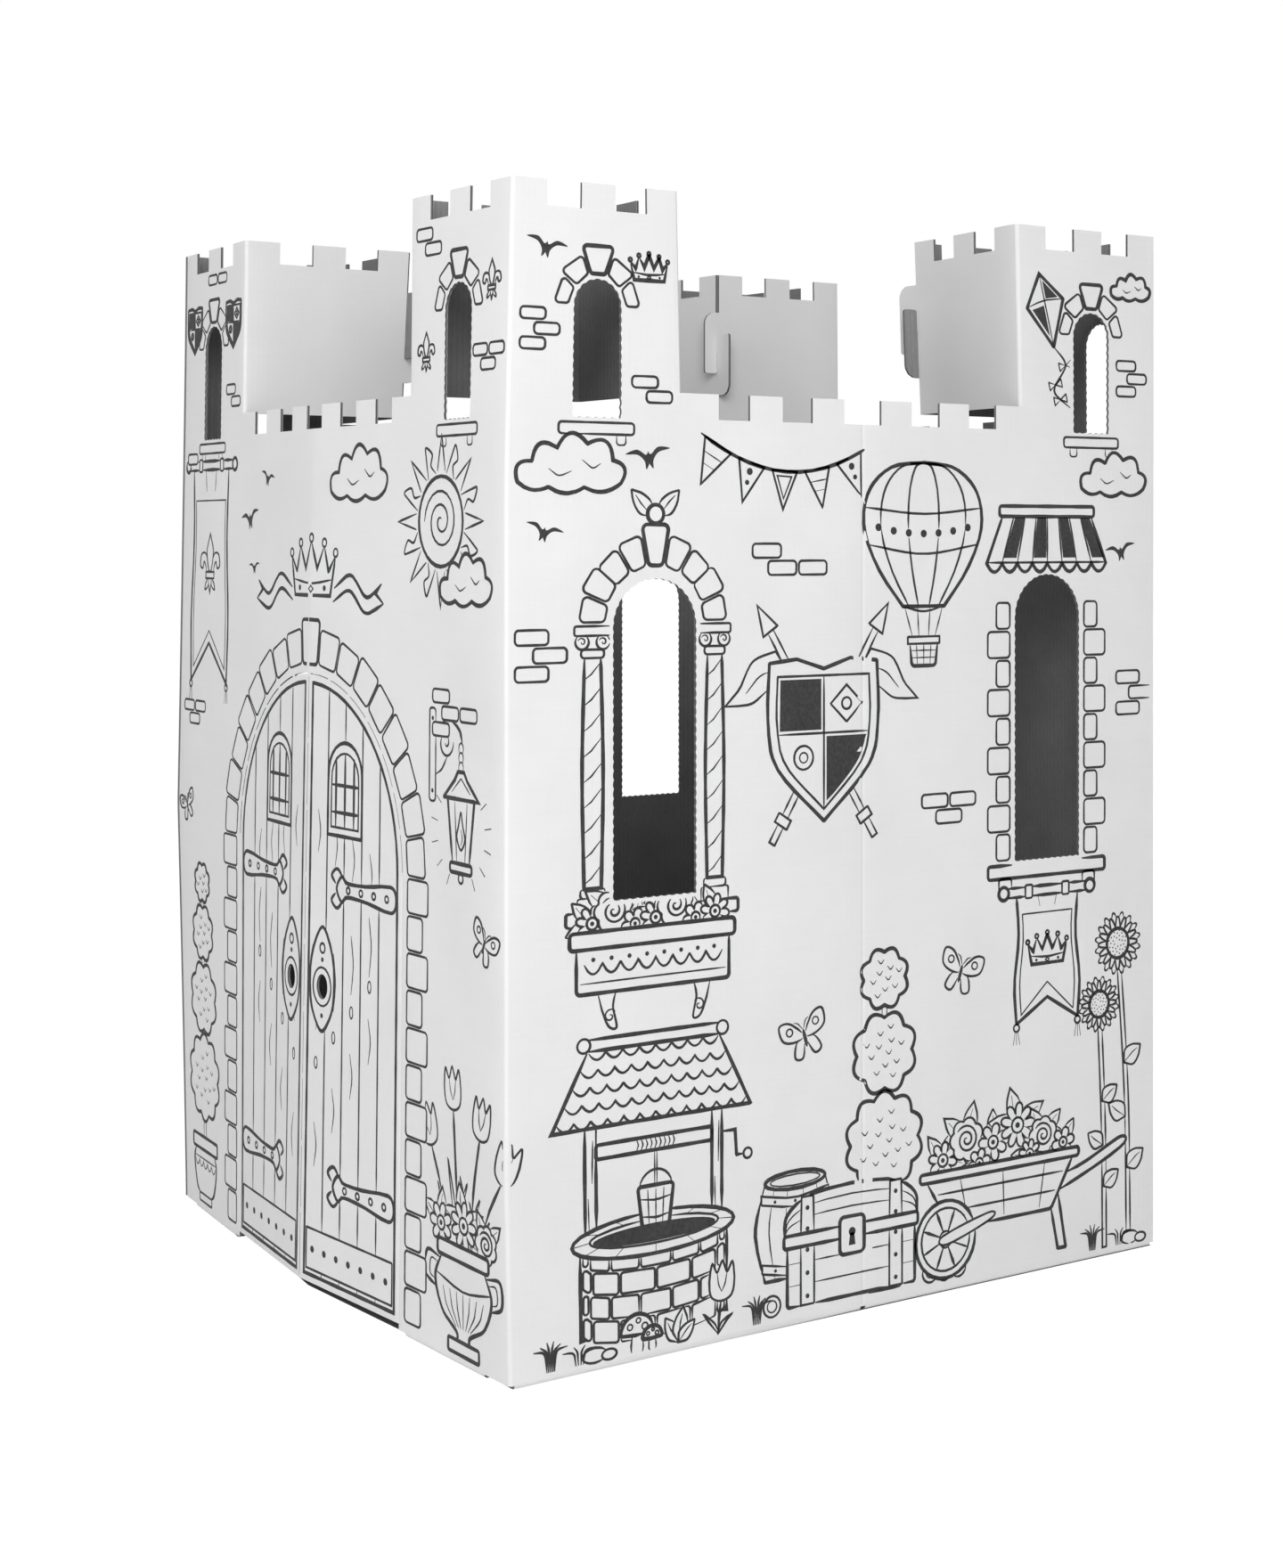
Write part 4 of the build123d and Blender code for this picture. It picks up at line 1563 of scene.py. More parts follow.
def tower_window(art, x, count=5):
    """Stones round the head of a tower window, and its sill on two brackets."""
    wide, sill, tall = TOWER_WINDOW
    spring = sill + tall - wide / 2
    wedge_stones(art, x, spring, wide / 2 + 5, wide / 2 + 23, count, 3.5)
    for way in (-1, 1):
        art.box(x + way * 26 - 5, sill - 26, x + way * 26 + 5, sill - 14, FINE, 3.0)
    art.box(x - 40, sill - 16, x + 40, sill - 5, DETAIL, 3.0)


# Things round the castle

def lantern(art, x, y):
    """A lantern hung from a scrolled bracket, with its light as short rays."""
    pen = art.at(x, y)
    pen.box(-58, 60, -46, 150, DETAIL, 4.0)
    for level in (70, 140):
        pen.dot(-52, level, 2.2)
    pen.sweep([(-46, 132), (-20, 140), (0, 132), (6, 120)], OUTLINE)
    pen.line(spiral(-26, 118, 15, 1.6, 150))
    pen.sweep([(-46, 86), (-34, 92), (-24, 104)])
    for level in (114, 105, 96):
        pen.circle(4, level, 4.5, FINE, 5.5)
    pen.shape(mirrored([(6, 92), (12, 84), (34, 66)]) + [4, 0], OUTLINE)
    pen.line([(-14, 72), (4, 86), (22, 72)], FINE)
    pen.shape([(-22, 66), (30, 66), (20, 4), (-12, 4)], OUTLINE)
    pen.line([(-8, 63), (-4, 7)], FINE)
    pen.line([(16, 63), (12, 7)], FINE)
    flame = [(4, 18), (12, 28), (8, 40), (4, 54), (0, 42), (-4, 30)]
    pen.soft(flame)
    pen.sweep([(4, 22), (7, 29), (4, 38)], FINE)
    pen.box(-17, -4, 25, 5, OUTLINE, 3.0)
    pen.circle(4, -9, 4.5)
    for turn in (-62, -38, -14, 10, 34, 146, 170, 194, 218, 242):
        pen.ray(4, 34, 46, 58, turn, DETAIL)


def well(art):
    """A draw-well: curved courses of stone, a shingled roof, a windlass and a bucket."""
    reach = 96.0

    def round_at(angle, level):
        return reach * math.sin(math.radians(angle)), level - 16 * math.cos(math.radians(angle))

    for way in (-1, 1):
        left = way * 84 - 7
        art.box(left, 118, left + 14, 268, OUTLINE)
        art.line([(left + 5, 134), (left + 4, 180)], FINE)
        art.line([(left + 9, 196), (left + 10, 244)], FINE)
    art.box(-77, 222, 77, 238, OUTLINE, 3.0)
    for k in range(9):
        art.sweep([(-26 + 6 * k, 222), (-23 + 6 * k, 230), (-26 + 6 * k, 238)], FINE)
    art.line([(91, 230), (110, 230), (112, 200), (124, 200)], OUTLINE)
    art.circle(128, 200, 6)
    for shift in (-1.5, 1.5):
        art.line([(shift, 222), (shift, 182)], FINE)
    art.box(-98, 22, 98, 122, OUTLINE)
    for row in range(4):
        edges = np.linspace(-90, 90, 7 + row % 2)
        for start, end in zip(edges, edges[1:]):
            low, high = 24 + 27 * row, 51 + 27 * row
            stone(art, [round_at(*corner) for corner in quad(start, low, end, high)], 3.2)
    art.circle(0, 128, 108, OUTLINE, 24)
    art.circle(0, 130, 86, DETAIL, 14)
    art.solid(ellipse_outline((0, 128.5), 82, 10.5))
    for turn in range(0, 360, 30):
        angle = math.radians(turn)
        art.line([(86 * math.cos(angle), 130 + 15 * math.sin(angle)),
                  (107 * math.cos(angle), 128 + 23 * math.sin(angle))], FINE)
    art.line(arc_points((0, 178), 22, 10, 170, 12))
    art.shape(rounded([(-18, 136), (18, 136), (24, 182), (-24, 182)], [4] * 4), OUTLINE)
    for level, wide in ((148, 19.5), (168, 22)):
        art.sweep([(-wide, level), (0, level - 3), (wide, level)])
    for shift in (-9, 0, 9):
        art.line([(shift, 138), (shift * 1.2, 178)], FINE)
    art.shape([(-132, 258), (132, 258), (84, 350), (-84, 350)], OUTLINE)
    for row in range(5):
        wide = 86 + 9.8 * row
        art.line(scallops(np.linspace(wide, -wide, 9 + row), 342 - 19 * row, -0.38))
    art.box(-92, 344, 92, 357, OUTLINE, 4.0)
    for way in (-1, 1):
        art.circle(way * 92, 351, 8)


def barrel(art, x, y, size=1.0):
    """A barrel: bowed staves, hoops and a tap."""
    pen = art.at(x, y, size)
    side = curve([(34, 4), (43, 36), (44, 58), (34, 92)])
    pen.shape(mirrored(side), OUTLINE)
    for share in (-0.66, -0.24, 0.24, 0.66):
        pen.line(side * [share, 1], FINE)
    for low, high, wide in ((12, 20, 37), (74, 82, 38)):
        belt = curve([(-wide, high), (0, high - 6), (wide, high)])
        under = curve([(wide, low), (0, low - 6), (-wide, low)])
        pen.shape(np.concatenate([belt, under]))
        for k in (-0.6, 0, 0.6):
            pen.dot(k * wide, low - 1 + 5 * k * k, 1.6)
    pen.circle(0, 92, 34, OUTLINE, 8)
    pen.line(ellipse_outline((0, 92), 28, 5), FINE, closed=True)
    pen.box(-5, 40, 5, 50, DETAIL, 1.5)
    pen.dot(0, 45, 2.4)


def chest(art):
    """A chest with a bowed lid, iron bands and a lock, and coins beside it."""
    art.box(-78, 4, 78, 66, OUTLINE, 3.0)
    for level in (24, 45):
        art.line([(-76, level), (76, level)], FINE)
    lid = curve([(82, 66), (78, 92), (50, 108), (0, 112)])
    art.shape(mirrored(lid), OUTLINE)
    rim = np.concatenate([lid * [-1, 1], lid[::-1]])
    for share in (0.52, 0.78):
        art.line(rim * [0.98, share] + [0, 66 * (1 - share)], FINE)
    for x in (-54, 54):
        art.box(x - 8, 4, x + 8, 66)
        art.shape([(x - 8, 66), (x + 8, 66), (x + 7, 107), (x - 7, 107)])
        for level in (12, 34, 56, 76, 96):
            art.dot(x, level, 2.3)
    art.box(-82, 60, 82, 72, OUTLINE, 3.0)
    art.box(-15, 44, 15, 80, OUTLINE, 5.0)
    art.dot(0, 65, 4.2)
    art.solid([(-2.5, 64), (-4, 52), (4, 52), (2.5, 64)])
    for x, y in ((98, 9), (116, 8), (107, 21), (-96, 9), (134, 9)):
        art.circle(x, y, 10)
        art.circle(x, y, 5.5, FINE)


def barrow(art):
    """A wheelbarrow heaped with flowers."""
    bouquet(art, [(-96, 128, 20, 8), (-62, 146, 24, 0), (-24, 138, 21, 7), (12, 152, 25, 9),
                  (50, 136, 21, 0), (80, 124, 17, 6), (-44, 118, 16, 6), (30, 118, 16, 8)])
    art.soft([(40, 78), (110, 96), (168, 118), (172, 108), (112, 84), (44, 64)], OUTLINE)
    art.shape([(58, 70), (72, 70), (84, 6), (72, 6)], OUTLINE)
    tray = rounded([(-84, 52), (62, 52), (98, 112), (-122, 112)], [8, 8, 4, 4])
    art.shape(tray, OUTLINE)
    for share in (0.33, 0.66):
        level = 52 + 60 * share
        art.line([(-84 - 38 * share + 6, level), (62 + 36 * share - 6, level)])
    for x in (-60, -8, 44):
        art.line([(x, 56), (x * 1.2, 108)], FINE)
    art.box(-128, 106, 104, 116, OUTLINE, 4.0)
    art.circle(-92, 42, 42, OUTLINE)
    art.circle(-92, 42, 34)
    for k in range(8):
        art.ray(-92, 42, 9, 33, 22.5 + 45 * k, OUTLINE)
    art.circle(-92, 42, 9)
    art.dot(-92, 42, 3)
    art.soft([(-96, 46), (-30, 62), (-28, 54), (-90, 36)])


def fountain(art):
    """A fountain of three bowls on turned stems, with falling water."""
    levels = ((78, 132, 34), (196, 88, 26), (288, 50, 18))
    for level, wide, _ in levels[1:]:
        for share in (0.55, 0.8, 1.04):
            reach = wide * share
            for side in art.halves():
                water = [(reach, level + 2), (reach + 20, level - 30), (reach + 30, level - 96)]
                side.sweep(water, FINE)
    for way in (-1, 1):
        for reach, rise in ((14, 62), (30, 48), (44, 28)):
            art.sweep([(0, 292), (way * 0.5 * reach, 292 + rise), (way * reach, 286)])
    art.line([(0, 292), (0, 368)])
    for level, wide, deep in levels[::-1]:
        stem = curve([(0.16 * wide, level - 8), (0.1 * wide, level - 50), (0.2 * wide, level - 92)])
        if level > 100:
            art.shape(mirrored(stem))
            art.box(-0.24 * wide, level - 58, 0.24 * wide, level - 46, DETAIL, 4.0)
        bowl = curve([(wide, level), (0.9 * wide, level - 0.5 * deep), (0.5 * wide, level - deep),
                      (0.14 * wide, level - 1.3 * deep)])
        art.shape(mirrored(bowl), OUTLINE)
        art.line(scallops(np.linspace(0.86, -0.86, 9) * wide, level - 0.28 * deep, -0.42), FINE)
        art.circle(0, level, wide, OUTLINE, 0.14 * wide)
        art.circle(0, level, 0.86 * wide, FINE, 0.09 * wide)
    art.box(-150, 22, 150, 54, OUTLINE, 6.0)
    for x in range(-120, 121, 40):
        lily_emblem(art, x, 30, 16)
    art.box(-164, 8, 164, 24, OUTLINE, 4.0)


def door_print(art):
    """The double door: planks, strap hinges, barred windows, ring plates and foot plates."""
    for side in art.halves():
        door_leaf(side)
    inner = DOOR_HALF + DOOR_MARGIN
    wedge_stones(art, 0, DOOR_SPRING, inner, inner + 37, 17)
    for way in (-1, 1):
        quoins(art, way * inner, 14, DOOR_SPRING, way, (32, 42), 12)


def door_leaf(art):
    """The right-hand leaf from its inner edge."""
    inner, outer = DOOR_MARGIN, DOOR_HALF - DOOR_MARGIN
    rise = arc_points((0, DOOR_SPRING), outer, 0, math.degrees(math.acos(inner / outer)), 22)
    art.line(np.concatenate([[(inner, 18), (outer, 18)], rise]), OUTLINE, closed=True)
    for k in range(1, 5):
        x = inner + k * (outer - inner) / 5
        top = DOOR_SPRING + math.sqrt(outer**2 - x**2)
        art.line([(x, 20), (x, top)])
        for low, tall in ((90 + 41 * k, 46), (250 + 23 * k, 60), (470 - 12 * k, 44)):
            art.sweep([(x - 18, low), (x - 14, low + 0.5 * tall), (x - 19, low + tall)], FINE)
        art.line(ellipse_outline((x - 17, 208 + 31 * k), 3, 6), FINE, closed=True)
    art.box(inner + 4, 24, outer - 4, 66)
    for k in range(7):
        art.dot(inner + 16 + k * (outer - inner - 32) / 6, 45, 3.6)
    for level in (118, 424):
        strap(art.at(outer, level))
    window = arch_outline(78, 68, 478, 96, 14)
    art.shape(window, OUTLINE)
    art.shape((window - [78, 520]) * 0.8 + [78, 520])
    for x in (60, 78, 96):
        art.line([(x, 486), (x, 564 - 0.3 * abs(x - 78))], OUTLINE)
    for level in (502, 530):
        art.line([(51, level), (105, level)], OUTLINE)
    ring_plate(art.at(FINGER_FROM_CENTRE, FINGER_Z))


def strap(art):
    """A strap hinge that ends in a lily, from its pin."""
    art.soft([(-118, 0), (-108, 13), (-96, 7), (-60, 8), (-8, 12),
              (-8, -12), (-60, -8), (-96, -7), (-108, -13)], OUTLINE)
    for way in (-1, 1):
        curl = [(-100, way * 6), (-116, way * 20), (-128, way * 13), (-120, way * 5)]
        art.sweep(curl, OUTLINE)
    for k in range(4):
        art.circle(-20 - 25 * k, 0, 3.4)


def ring_plate(art):
    """A plate round a finger hole, with a ring and two nails."""
    plate = [(0, 62), (16, 44), (24, 18), (23, -14), (14, -34), (0, -46)]
    art.soft(both_sides(plate), OUTLINE)
    art.circle(0, 0, FINGER_HALF_WIDTH + 7, DETAIL, FINGER_HALF_HEIGHT + 7)
    art.circle(0, 40, 5)
    for level in (28, -30):
        art.dot(0, level, 2.6)


# The drawings of the four walls

def lily_on_cloth(art):
    lily_emblem(art, 0, -26, 62)


def crown_on_cloth(art):
    crown(art, 0, -14, 56)


def rings_on_cloth(art):
    for x, y in ((0, 22), (0, -16), (-17, 3), (17, 3)):
        art.line([(x, y + 14), (x + 12, y), (x, y - 14), (x - 12, y)], closed=True)


def ground_row(art, left, right, gap=46.0):
    """A row of grass, tulips, mushrooms and pebbles along the floor."""
    count = int((right - left) / gap)
    for k in range(count):
        x = left + (k + 0.5) * (right - left) / count
        kind = (3 * k) % 5
        if kind == 0:
            grass(art, x, 9, 6, 30)
        elif kind == 1:
            mushroom(art, x, 9, 36)
            mushroom(art, x + 17, 9, 22)
        elif kind == 2:
            tulip(art, x, 9, 34, 4)
        elif kind == 3:
            art.circle(x, 15, 13, DETAIL, 7)
            art.circle(x + 16, 13, 8, DETAIL, 5)
            grass(art, x - 16, 9, 4, 20)
        else:
            leaf(art, x, 9, 30, 120)
            leaf(art, x, 9, 34, 80)
            leaf(art, x, 9, 27, 45)


def tower_print(art, x, kind):
    """A tower face: its window's stones, brick patches, and an emblem or two."""
    tower_window(art, x)
    top = HEIGHT - TOWER_GAP_DEPTH
    if kind == 0:
        bricks(art, x - 84, top - 6, ("#", "#"), 34, 15)
        lily_emblem(art, x + 62, 1010, 34)
        bricks(art, x + 28, 968, ("##", "#"), 30, 14)
        lily_emblem(art, x - 62, 950, 34)
    elif kind == 1:
        crown(art, x + 58, 1030, 44)
        bricks(art, x - 84, 1000, ("#", "#", "#"), 30, 14)
        bricks(art, x + 36, 940, ("#", "#"), 32, 14)
        swift(art, x - 56, 1056, 0.9, -10)
    elif kind == 2:
        kite(art, x - 64, 1030, 38, 14, 0.3)
        cloud(art, x + 58, 1050, 56)
        bricks(art, x + 36, 980, ("#", "#", "#"), 32, 14)
    else:
        shield(art, x - 60, 1000, 56)
        shield(art, x + 60, 1000, 56)
        bricks(art, x - 20, top - 4, ("##",), 30, 14)
        bricks(art, x + 40, 960, ("#", "#"), 30, 14)


def door_wall_print(art):
    """The door wall from its left corner: cloth and tree at left, sun, lantern and urn right."""
    middle = HALF_END
    tower_print(art, TOWER_WINDOW_CENTRE, 3)
    tower_print(art, 2 * HALF_END - TOWER_WINDOW_CENTRE, 0)
    banner(art, 92, 868, 108, 250, lily_on_cloth)
    bricks(art, 16, 884, ("#",), 34, 15)
    bricks(art, 18, 596, ("##", "#"), 34, 15)
    clipped_tree(art.at(76, 12), [(146, 44), (238, 36), (314, 28), (372, 20)])
    butterfly(art, 34, 470, 0.9, 20)
    for x, y, size, turn in ((212, 806, 1.0, 10), (262, 850, 0.75, -12), (226, 752, 0.6, 4)):
        swift(art, x, y, size, turn)
    crown(art, middle, 724, 104)
    for side in art.at(middle, 716).halves():
        side.sweep([(50, 16), (84, 30), (116, 8), (146, 22)], OUTLINE)
        side.sweep([(48, 2), (82, 14), (114, -8), (150, 2)], OUTLINE)
        side.line([(146, 22), (134, 12), (150, 2)], OUTLINE)
    cloud(art, middle + 96, 832, 110)
    sun(art, middle + 262, 800, 78)
    cloud(art, middle + 310, 728, 96)
    lantern(art, middle + 300, 470)
    bricks(art, middle + 246, 640, ("#.", "##", "#"), 36, 16)
    urn(art.at(middle + 308, 10, 1.05))
    butterfly(art, middle + 348, 404, 1.0, -24)
    door_print(art.at(middle, 0))


def right_wall_print(art):
    """The wall right of the door from its near corner, both windows dressed differently."""
    first, second = WALL_WINDOW_CENTRE, SIDE_WALL - WALL_WINDOW_CENTRE
    tower_print(art, TOWER_WINDOW_CENTRE, 1)
    tower_print(art, SIDE_WALL - TOWER_WINDOW_CENTRE, 2)
    bunting(art, (210, 886), (412, 874), 30, 5)
    cloud(art, 66, 836, 108)
    swift(art, 150, 862, 1.0, 8)
    swift(art, 40, 790, 0.8, -14)
    column_window(art, first)
    bricks(art, 8, 700, ("#", "#", "#"), 38, 17)
    bricks(art, 270, 780, ("#", "##"), 38, 17)
    crossed_arms(art, 360, 500, 170)
    balloon(art, 490, 650, 212)
    awning_window(art, second, crown_on_cloth)
    cloud(art, 758, 838, 92)
    bricks(art, 762, 640, ("#", "#", "#"), 38, 17)
    bricks(art, 486, 520, ("##", "#"), 38, 17)
    swift(art, 770, 770, 0.9, 10)
    sunflower(art, 782, 10, 330, 34, -16)
    sunflower(art, 746, 10, 266, 30, -8)
    well(art.at(158, 12, 0.84))
    clipped_tree(art.at(438, 16), [(152, 44), (242, 36), (318, 27)])
    barrel(art, 324, 44, 1.1)
    chest(art.at(396, 14, 1.05))
    barrow(art.at(608, 14, 0.96))
    butterfly(art, 336, 286, 1.2, 16)
    butterfly(art, 540, 330, 1.2, -18)
    ground_row(art, 20, 300)
    ground_row(art, 700, 812, 40)


def plain_wall_print(art):
    """The wall opposite the door: a fountain in a garden, cloths to either side."""
    middle = HALF_END
    tower_print(art, TOWER_WINDOW_CENTRE, 2)
    tower_print(art, 2 * HALF_END - TOWER_WINDOW_CENTRE, 1)
    bunting(art, (206, 886), (566, 886), 46, 8)
    banner(art, 96, 860, 104, 230, crown_on_cloth)
    banner(art, 676, 860, 104, 230, lily_on_cloth)
    crossed_arms(art, middle, 560, 190)
    bricks(art, 196, 700, ("##", "#."), 38, 17)
    bricks(art, 540, 660, (".#", "##", "#"), 38, 17)
    bricks(art, 22, 560, ("##", "#"), 38, 17)
    cloud(art, middle - 120, 790, 120)
    swift(art, 250, 640, 1.0, 14)
    fountain(art.at(middle, 8))
    clipped_tree(art.at(88, 12), [(150, 46), (248, 38), (330, 30), (394, 21)])
    clipped_tree(art.at(684, 12), [(150, 46), (248, 38), (330, 30), (394, 21)])
    sunflower(art, 196, 10, 250, 32, -10)
    sunflower(art, 576, 10, 280, 34, 12)
    butterfly(art, 250, 360, 1.0, 15)
    butterfly(art, 560, 430, 1.2, -20)
    ground_row(art, 130, 232, 40)
    ground_row(art, 540, 640, 40)


def left_wall_print(art):
    """The wall left of the door, seen from outside: the same things set out another way."""
    first, second = WALL_WINDOW_CENTRE, SIDE_WALL - WALL_WINDOW_CENTRE
    tower_print(art, TOWER_WINDOW_CENTRE, 0)
    tower_print(art, SIDE_WALL - TOWER_WINDOW_CENTRE, 3)
    cloud(art, 300, 830, 120)
    cloud(art, 560, 856, 90)
    sun(art, HALF_Y, 770, 84)
    awning_window(art, first, rings_on_cloth)
    column_window(art, second)
    kite(art, 300, 690, 46, -16, 0.3)
    swift(art, 520, 720, 1.0, 8)
    swift(art, 560, 780, 0.8, -10)
    bricks(art, 10, 640, ("#", "#", "#"), 38, 17)
    bricks(art, 760, 720, ("#", "#"), 38, 17)
    bricks(art, 360, 520, ("##", "#."), 38, 17)
    lantern(art, 478, 470)
    clipped_tree(art.at(306, 12), [(150, 46), (248, 38), (330, 30)])
    barrow(art.at(150, 14, 1.0))
    well(art.at(656, 12, 0.86))
    chest(art.at(470, 18, 1.0))
    barrel(art, 400, 30, 1.1)
    sunflower(art, 360, 10, 300, 34, 14)
    sunflower(art, 528, 10, 290, 30, -8)
    butterfly(art, 420, 420, 1.2, 18)
    ground_row(art, 540, 800)


def printable(points, door):
    """Which places of the layout take print: clear of folds, edges and openings."""
    s, v = points.T
    good = v > FLOOR_CLEAR
    for bend in (0.0, SIDE_START, SIDE_START + SIDE_WALL):
        good &= np.abs(s - bend) > EDGE_CLEAR
    in_wall = np.zeros(len(s), bool)
    for left, right in ((FOLD_LEFT, FOLD_NEAR_END), (FOLD_NEAR_SIDE, FOLD_RIGHT)):
        in_wall |= (s > left - EDGE_CLEAR) & (s < right + EDGE_CLEAR)
    good &= v < np.where(in_wall, WALL_TOP - WALL_GAP_DEPTH, HEIGHT - TOWER_GAP_DEPTH) - EDGE_CLEAR
    gap = HOLE_CLEAR
    for at, (wide, sill, tall) in windows():
        good &= ~inside(points, [arch_outline(at, wide + 2 * gap, sill - gap, tall + 2 * gap)])
    if door:
        for hole in finger_outlines():
            middle = hole.mean(axis=0)
            good &= ~inside(points, [middle + (hole - middle) * FINGER_GROWTH])
        from_middle = np.abs(s - HALF_END)
        good &= (from_middle > DOOR_HALF + FOOT_SIDE_CLEAR) | (v > DOOR_FOOT + FOOT_CLEAR)
    return good


def ribbon_edges(stroke):
    """The two edges of a stroke: half a pen to either side, along each bend's bisector.

    The pen swells and thins by a tenth along the way, and thins towards an open end.
    """
    points, run, whole = stroke.carried()
    if stroke.closed:
        ahead = np.roll(points, -1, axis=0) - points
        before = np.roll(ahead, 1, axis=0)
    else:
        step = np.diff(points, axis=0)
        ahead = np.concatenate([step, step[-1:]])
        before = np.concatenate([step[:1], step])
    ahead = ahead / np.maximum(np.linalg.norm(ahead, axis=1), 1e-9)[:, None]
    before = before / np.maximum(np.linalg.norm(before, axis=1), 1e-9)[:, None]
    along = ahead + before
    length = np.maximum(np.linalg.norm(along, axis=1), 0.8)
    across = np.column_stack([-along[:, 1], along[:, 0]]) / length[:, None]
    stretch = 2 / length
    pen = stroke.width * (1 + PEN_SWELL * np.sin(run / SWELL_RUN + points[0] @ SWELL_START))
    if not stroke.closed:
        from_end = np.minimum(run, whole - run)
        pen = pen * np.clip(END_WIDTH + (1 - END_WIDTH) * from_end / END_TAPER, 0, 1)
    half = across * (pen * stretch / 2)[:, None]
    return points + half, points - half


def lay_ink(name, drawing, door, back, low, high):
    """The strokes and solid areas between two places of a blank as one object of thin slabs."""
    flat, faces = [], []
    count = 0
    for stroke in drawing.strokes:
        middle = (stroke.low[0] + stroke.high[0]) / 2
        if not low <= middle < high:
            continue
        left, right = ribbon_edges(stroke)
        size = len(left)
        flat += [left, right]
        step = np.arange(size - (not stroke.closed))
        a, b = count + step, count + (step + 1) % size
        faces.append(np.column_stack([a + size, b + size, b]))
        faces.append(np.column_stack([a + size, b, a]))
        count += 2 * size
    for loop in drawing.solids:
        if not low <= loop[:, 0].mean() < high:
            continue
        verts, tris = triangulate([loop])
        flat.append(verts)
        faces.append(tris + count)
        count += len(verts)
    flat, tris = np.concatenate(flat), np.concatenate(faces)
    path = wall_path()
    layers = [stand(path, flat, door, lift)[0] for lift in (INK_RISE, -INK_ROOT)]
    points = place(np.concatenate(layers), back)
    under, sides = other_faces(len(flat), tris)
    faces = tris.tolist() + under.tolist() + sides.tolist()
    piece = new_piece(name, points.tolist(), faces, black)
    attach(piece, "root")


def print_blank(door, back, end_name, side_name):
    """Draws both walls of a blank, trims the print to where it may go, and lays the ink."""
    drawing = Drawing()
    end_art, side_art = Art(drawing), Art(drawing, origin=(SIDE_START, 0.0))
    (door_wall_print if door else plain_wall_print)(end_art)
    (right_wall_print if door else left_wall_print)(side_art)
    drawing.clear(lambda points: ~printable(points, door), -np.inf, np.inf)
    lay_ink(end_name, drawing, door, back, 0.0, SIDE_START)
    lay_ink(side_name, drawing, door, back, SIDE_START, SHEET_END + 1)


print_blank(True, False, "ink_door_wall", "ink_right_wall")
print_blank(False, True, "ink_plain_wall", "ink_left_wall")


# Floor, light and camera

FLOOR_HALF, FLOOR_DROP = 12.0, 0.0006
FLOOR_DARK, FLOOR_LIGHT = 0.80, 0.82
GLOW, GLOW_SHARE = 1.07, 0.93
# The dark grey inside the walls is painted shadow on the floor.
PAINTED_SHADE_LEVEL, SHADE_INSET, SHADE_LIFT = 0.12, 0.996, -0.0002
WORLD_LEVEL, BACKDROP_LEVEL = 0.33, 1.0


def seen_directly(start):
    """1 along the camera's own rays, those in mirrors and glass too, and 0 where light falls."""
    kinds = ("Is Camera Ray", "Is Glossy Ray", "Is Transmission Ray")
    straight, mirrored_ray, through = (
        start.node("ShaderNodeLightPath", {}, {}, kind) for kind in kinds
    )
    return (straight + mirrored_ray + through).math("MINIMUM", 1.0)


def floor_material():
    """Pale floor that the camera sees as nearly white, with a faint shadow left on it."""
    finish = Finish("pale_floor", 0.9)
    speckle = finish.noise(3.0, 2.0)
    finish.set("Base Color", speckle.between(0.2, 0.8).blend(grey(FLOOR_DARK), grey(FLOOR_LIGHT)))
    seen = seen_directly(finish.place)
    glow = seen.node("ShaderNodeEmission", {}, {"Color": grey(1.0), "Strength": GLOW})
    surface = Value(finish.tree, finish.shader.outputs["BSDF"])
    mixed = seen.node("ShaderNodeMixShader", {}, {0: seen * GLOW_SHARE, 1: surface, 2: glow})
    output = finish.tree.nodes["Material Output"]
    finish.tree.links.new(mixed.socket, output.inputs["Surface"])
    return finish.material


def pale_floor():
    """A level sheet under the castle: a square grid of x and y at one height."""
    side = np.linspace(-FLOOR_HALF, FLOOR_HALF, 3)
    x, y = np.meshgrid(side, side)
    points = np.column_stack([x.ravel(), y.ravel(), np.full(x.size, -FLOOR_DROP)])
    corner = np.array([0, 1, 3, 4])
    faces = np.column_stack([corner, corner + 1, corner + 4, corner + 3])
    new_piece("floor", points.tolist(), faces.tolist(), floor_material())


def painted_shade_floor():
    """The floor inside the walls, which lies in their shade, with a dark colour as painted shadow:
    it shows only under the door.
    """
    mid = HALF_Y + BOW + BOW_AT_FLOOR
    plan = [(-HALF_X, 22 - HALF_Y), (0, 9 - mid), (HALF_X, 2 - HALF_Y)]
    plan += [(HALF_X, HALF_Y), (0, mid), (-HALF_X, HALF_Y)]
    points = [(x * SHADE_INSET * MM, y * SHADE_INSET * MM, SHADE_LIFT) for x, y in plan]
    finish = Finish("painted_shade_floor", 0.9)
    # Painted shadow: a dark base colour where the pale floor lies in the walls' shade.
    finish.shader.inputs["Base Color"].default_value = grey(PAINTED_SHADE_LEVEL)
    new_piece("painted_shade_floor", points, [range(len(points))], finish.material)


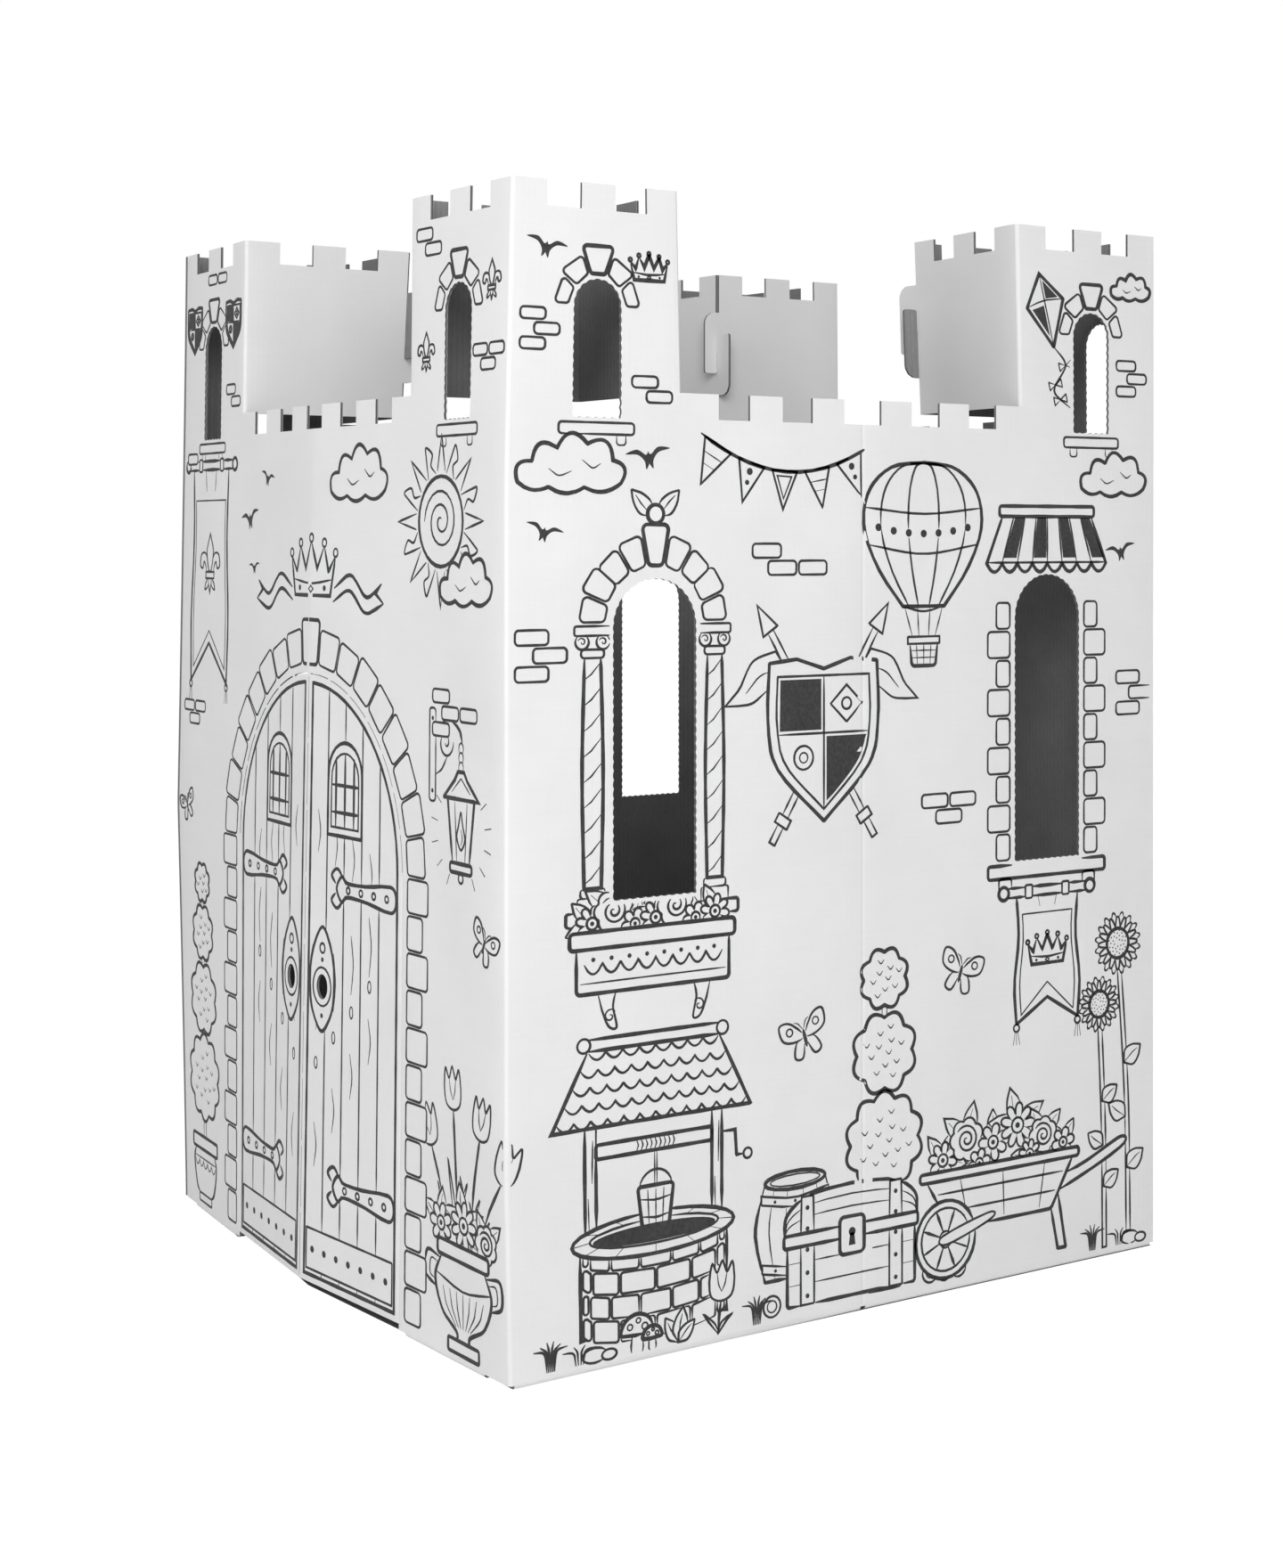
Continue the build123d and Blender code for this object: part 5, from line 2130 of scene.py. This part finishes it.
def studio_world():
    """Even pale light from all round, which the camera sees as white."""
    world = bpy.data.worlds.new("studio")
    bpy.context.scene.world = world
    world.use_nodes = True
    tree = world.node_tree
    tree.nodes.clear()
    seen = seen_directly(Value(tree, None))
    lit, backdrop = (
        seen.node("ShaderNodeBackground", {}, {"Color": grey(1.0), "Strength": level})
        for level in (WORLD_LEVEL, BACKDROP_LEVEL)
    )
    mixed = seen.node("ShaderNodeMixShader", {}, {0: seen, 1: lit, 2: backdrop})
    output = tree.nodes.new("ShaderNodeOutputWorld")
    tree.links.new(mixed.socket, output.inputs["Surface"])


def soft_box(name, position, target, wide, tall, power):
    """A flat studio lamp turned towards a point."""
    lamp = bpy.data.lights.new(name, "AREA")
    lamp.shape = "RECTANGLE"
    lamp.size = wide
    lamp.size_y = tall
    lamp.energy = power
    holder = bpy.data.objects.new(name, lamp)
    holder.location = position
    way = Vector(target) - Vector(position)
    holder.rotation_euler = way.to_track_quat("-Z", "Y").to_euler()
    holder.visible_camera = False
    bpy.context.scene.collection.objects.link(holder)


pale_floor()
painted_shade_floor()
studio_world()
# Each lamp: name, place, target, width, height, watts
soft_box("key_light", (3.0, -2.0, 2.1), (0.2, 0.0, 0.6), 2.0, 2.0, 92.0)
soft_box("near_light", (1.65, -0.45, 1.1), (0.385, -0.15, 0.75), 0.8, 1.5, 1.0)
soft_box("fill_light", (-0.1, -2.3, 1.15), (0.0, -0.4, 0.9), 1.2, 1.2, 6.6)
soft_box("back_light", (-3.2, 2.6, 2.2), (-0.2, 0.2, 0.6), 2.5, 2.5, 50.0)

# The camera stands level, its view shifted down to the photo's framing
CAMERA_POSITION = (2.312, -1.540, 0.7835)
CAMERA_AZIMUTH = 56.6
FOCAL_PIXELS = 2715.0
IMAGE_WIDTH, IMAGE_HEIGHT = 1440.0, 1760.0
HORIZON_ROW = 604.5
SENSOR = 36.0

camera_data = bpy.data.cameras.new("photo_camera")
camera_data.sensor_fit = "HORIZONTAL"
camera_data.sensor_width = SENSOR
camera_data.lens = SENSOR * FOCAL_PIXELS / IMAGE_WIDTH
camera_data.shift_y = -(IMAGE_HEIGHT / 2 - HORIZON_ROW) / IMAGE_WIDTH
camera_data.clip_end = 60.0
camera = bpy.data.objects.new("photo_camera", camera_data)
camera.location = CAMERA_POSITION
camera.rotation_euler = (math.pi / 2, 0.0, math.radians(CAMERA_AZIMUTH))
bpy.context.scene.collection.objects.link(camera)
bpy.context.scene.camera = camera
bpy.context.scene.view_settings.view_transform = "Standard"
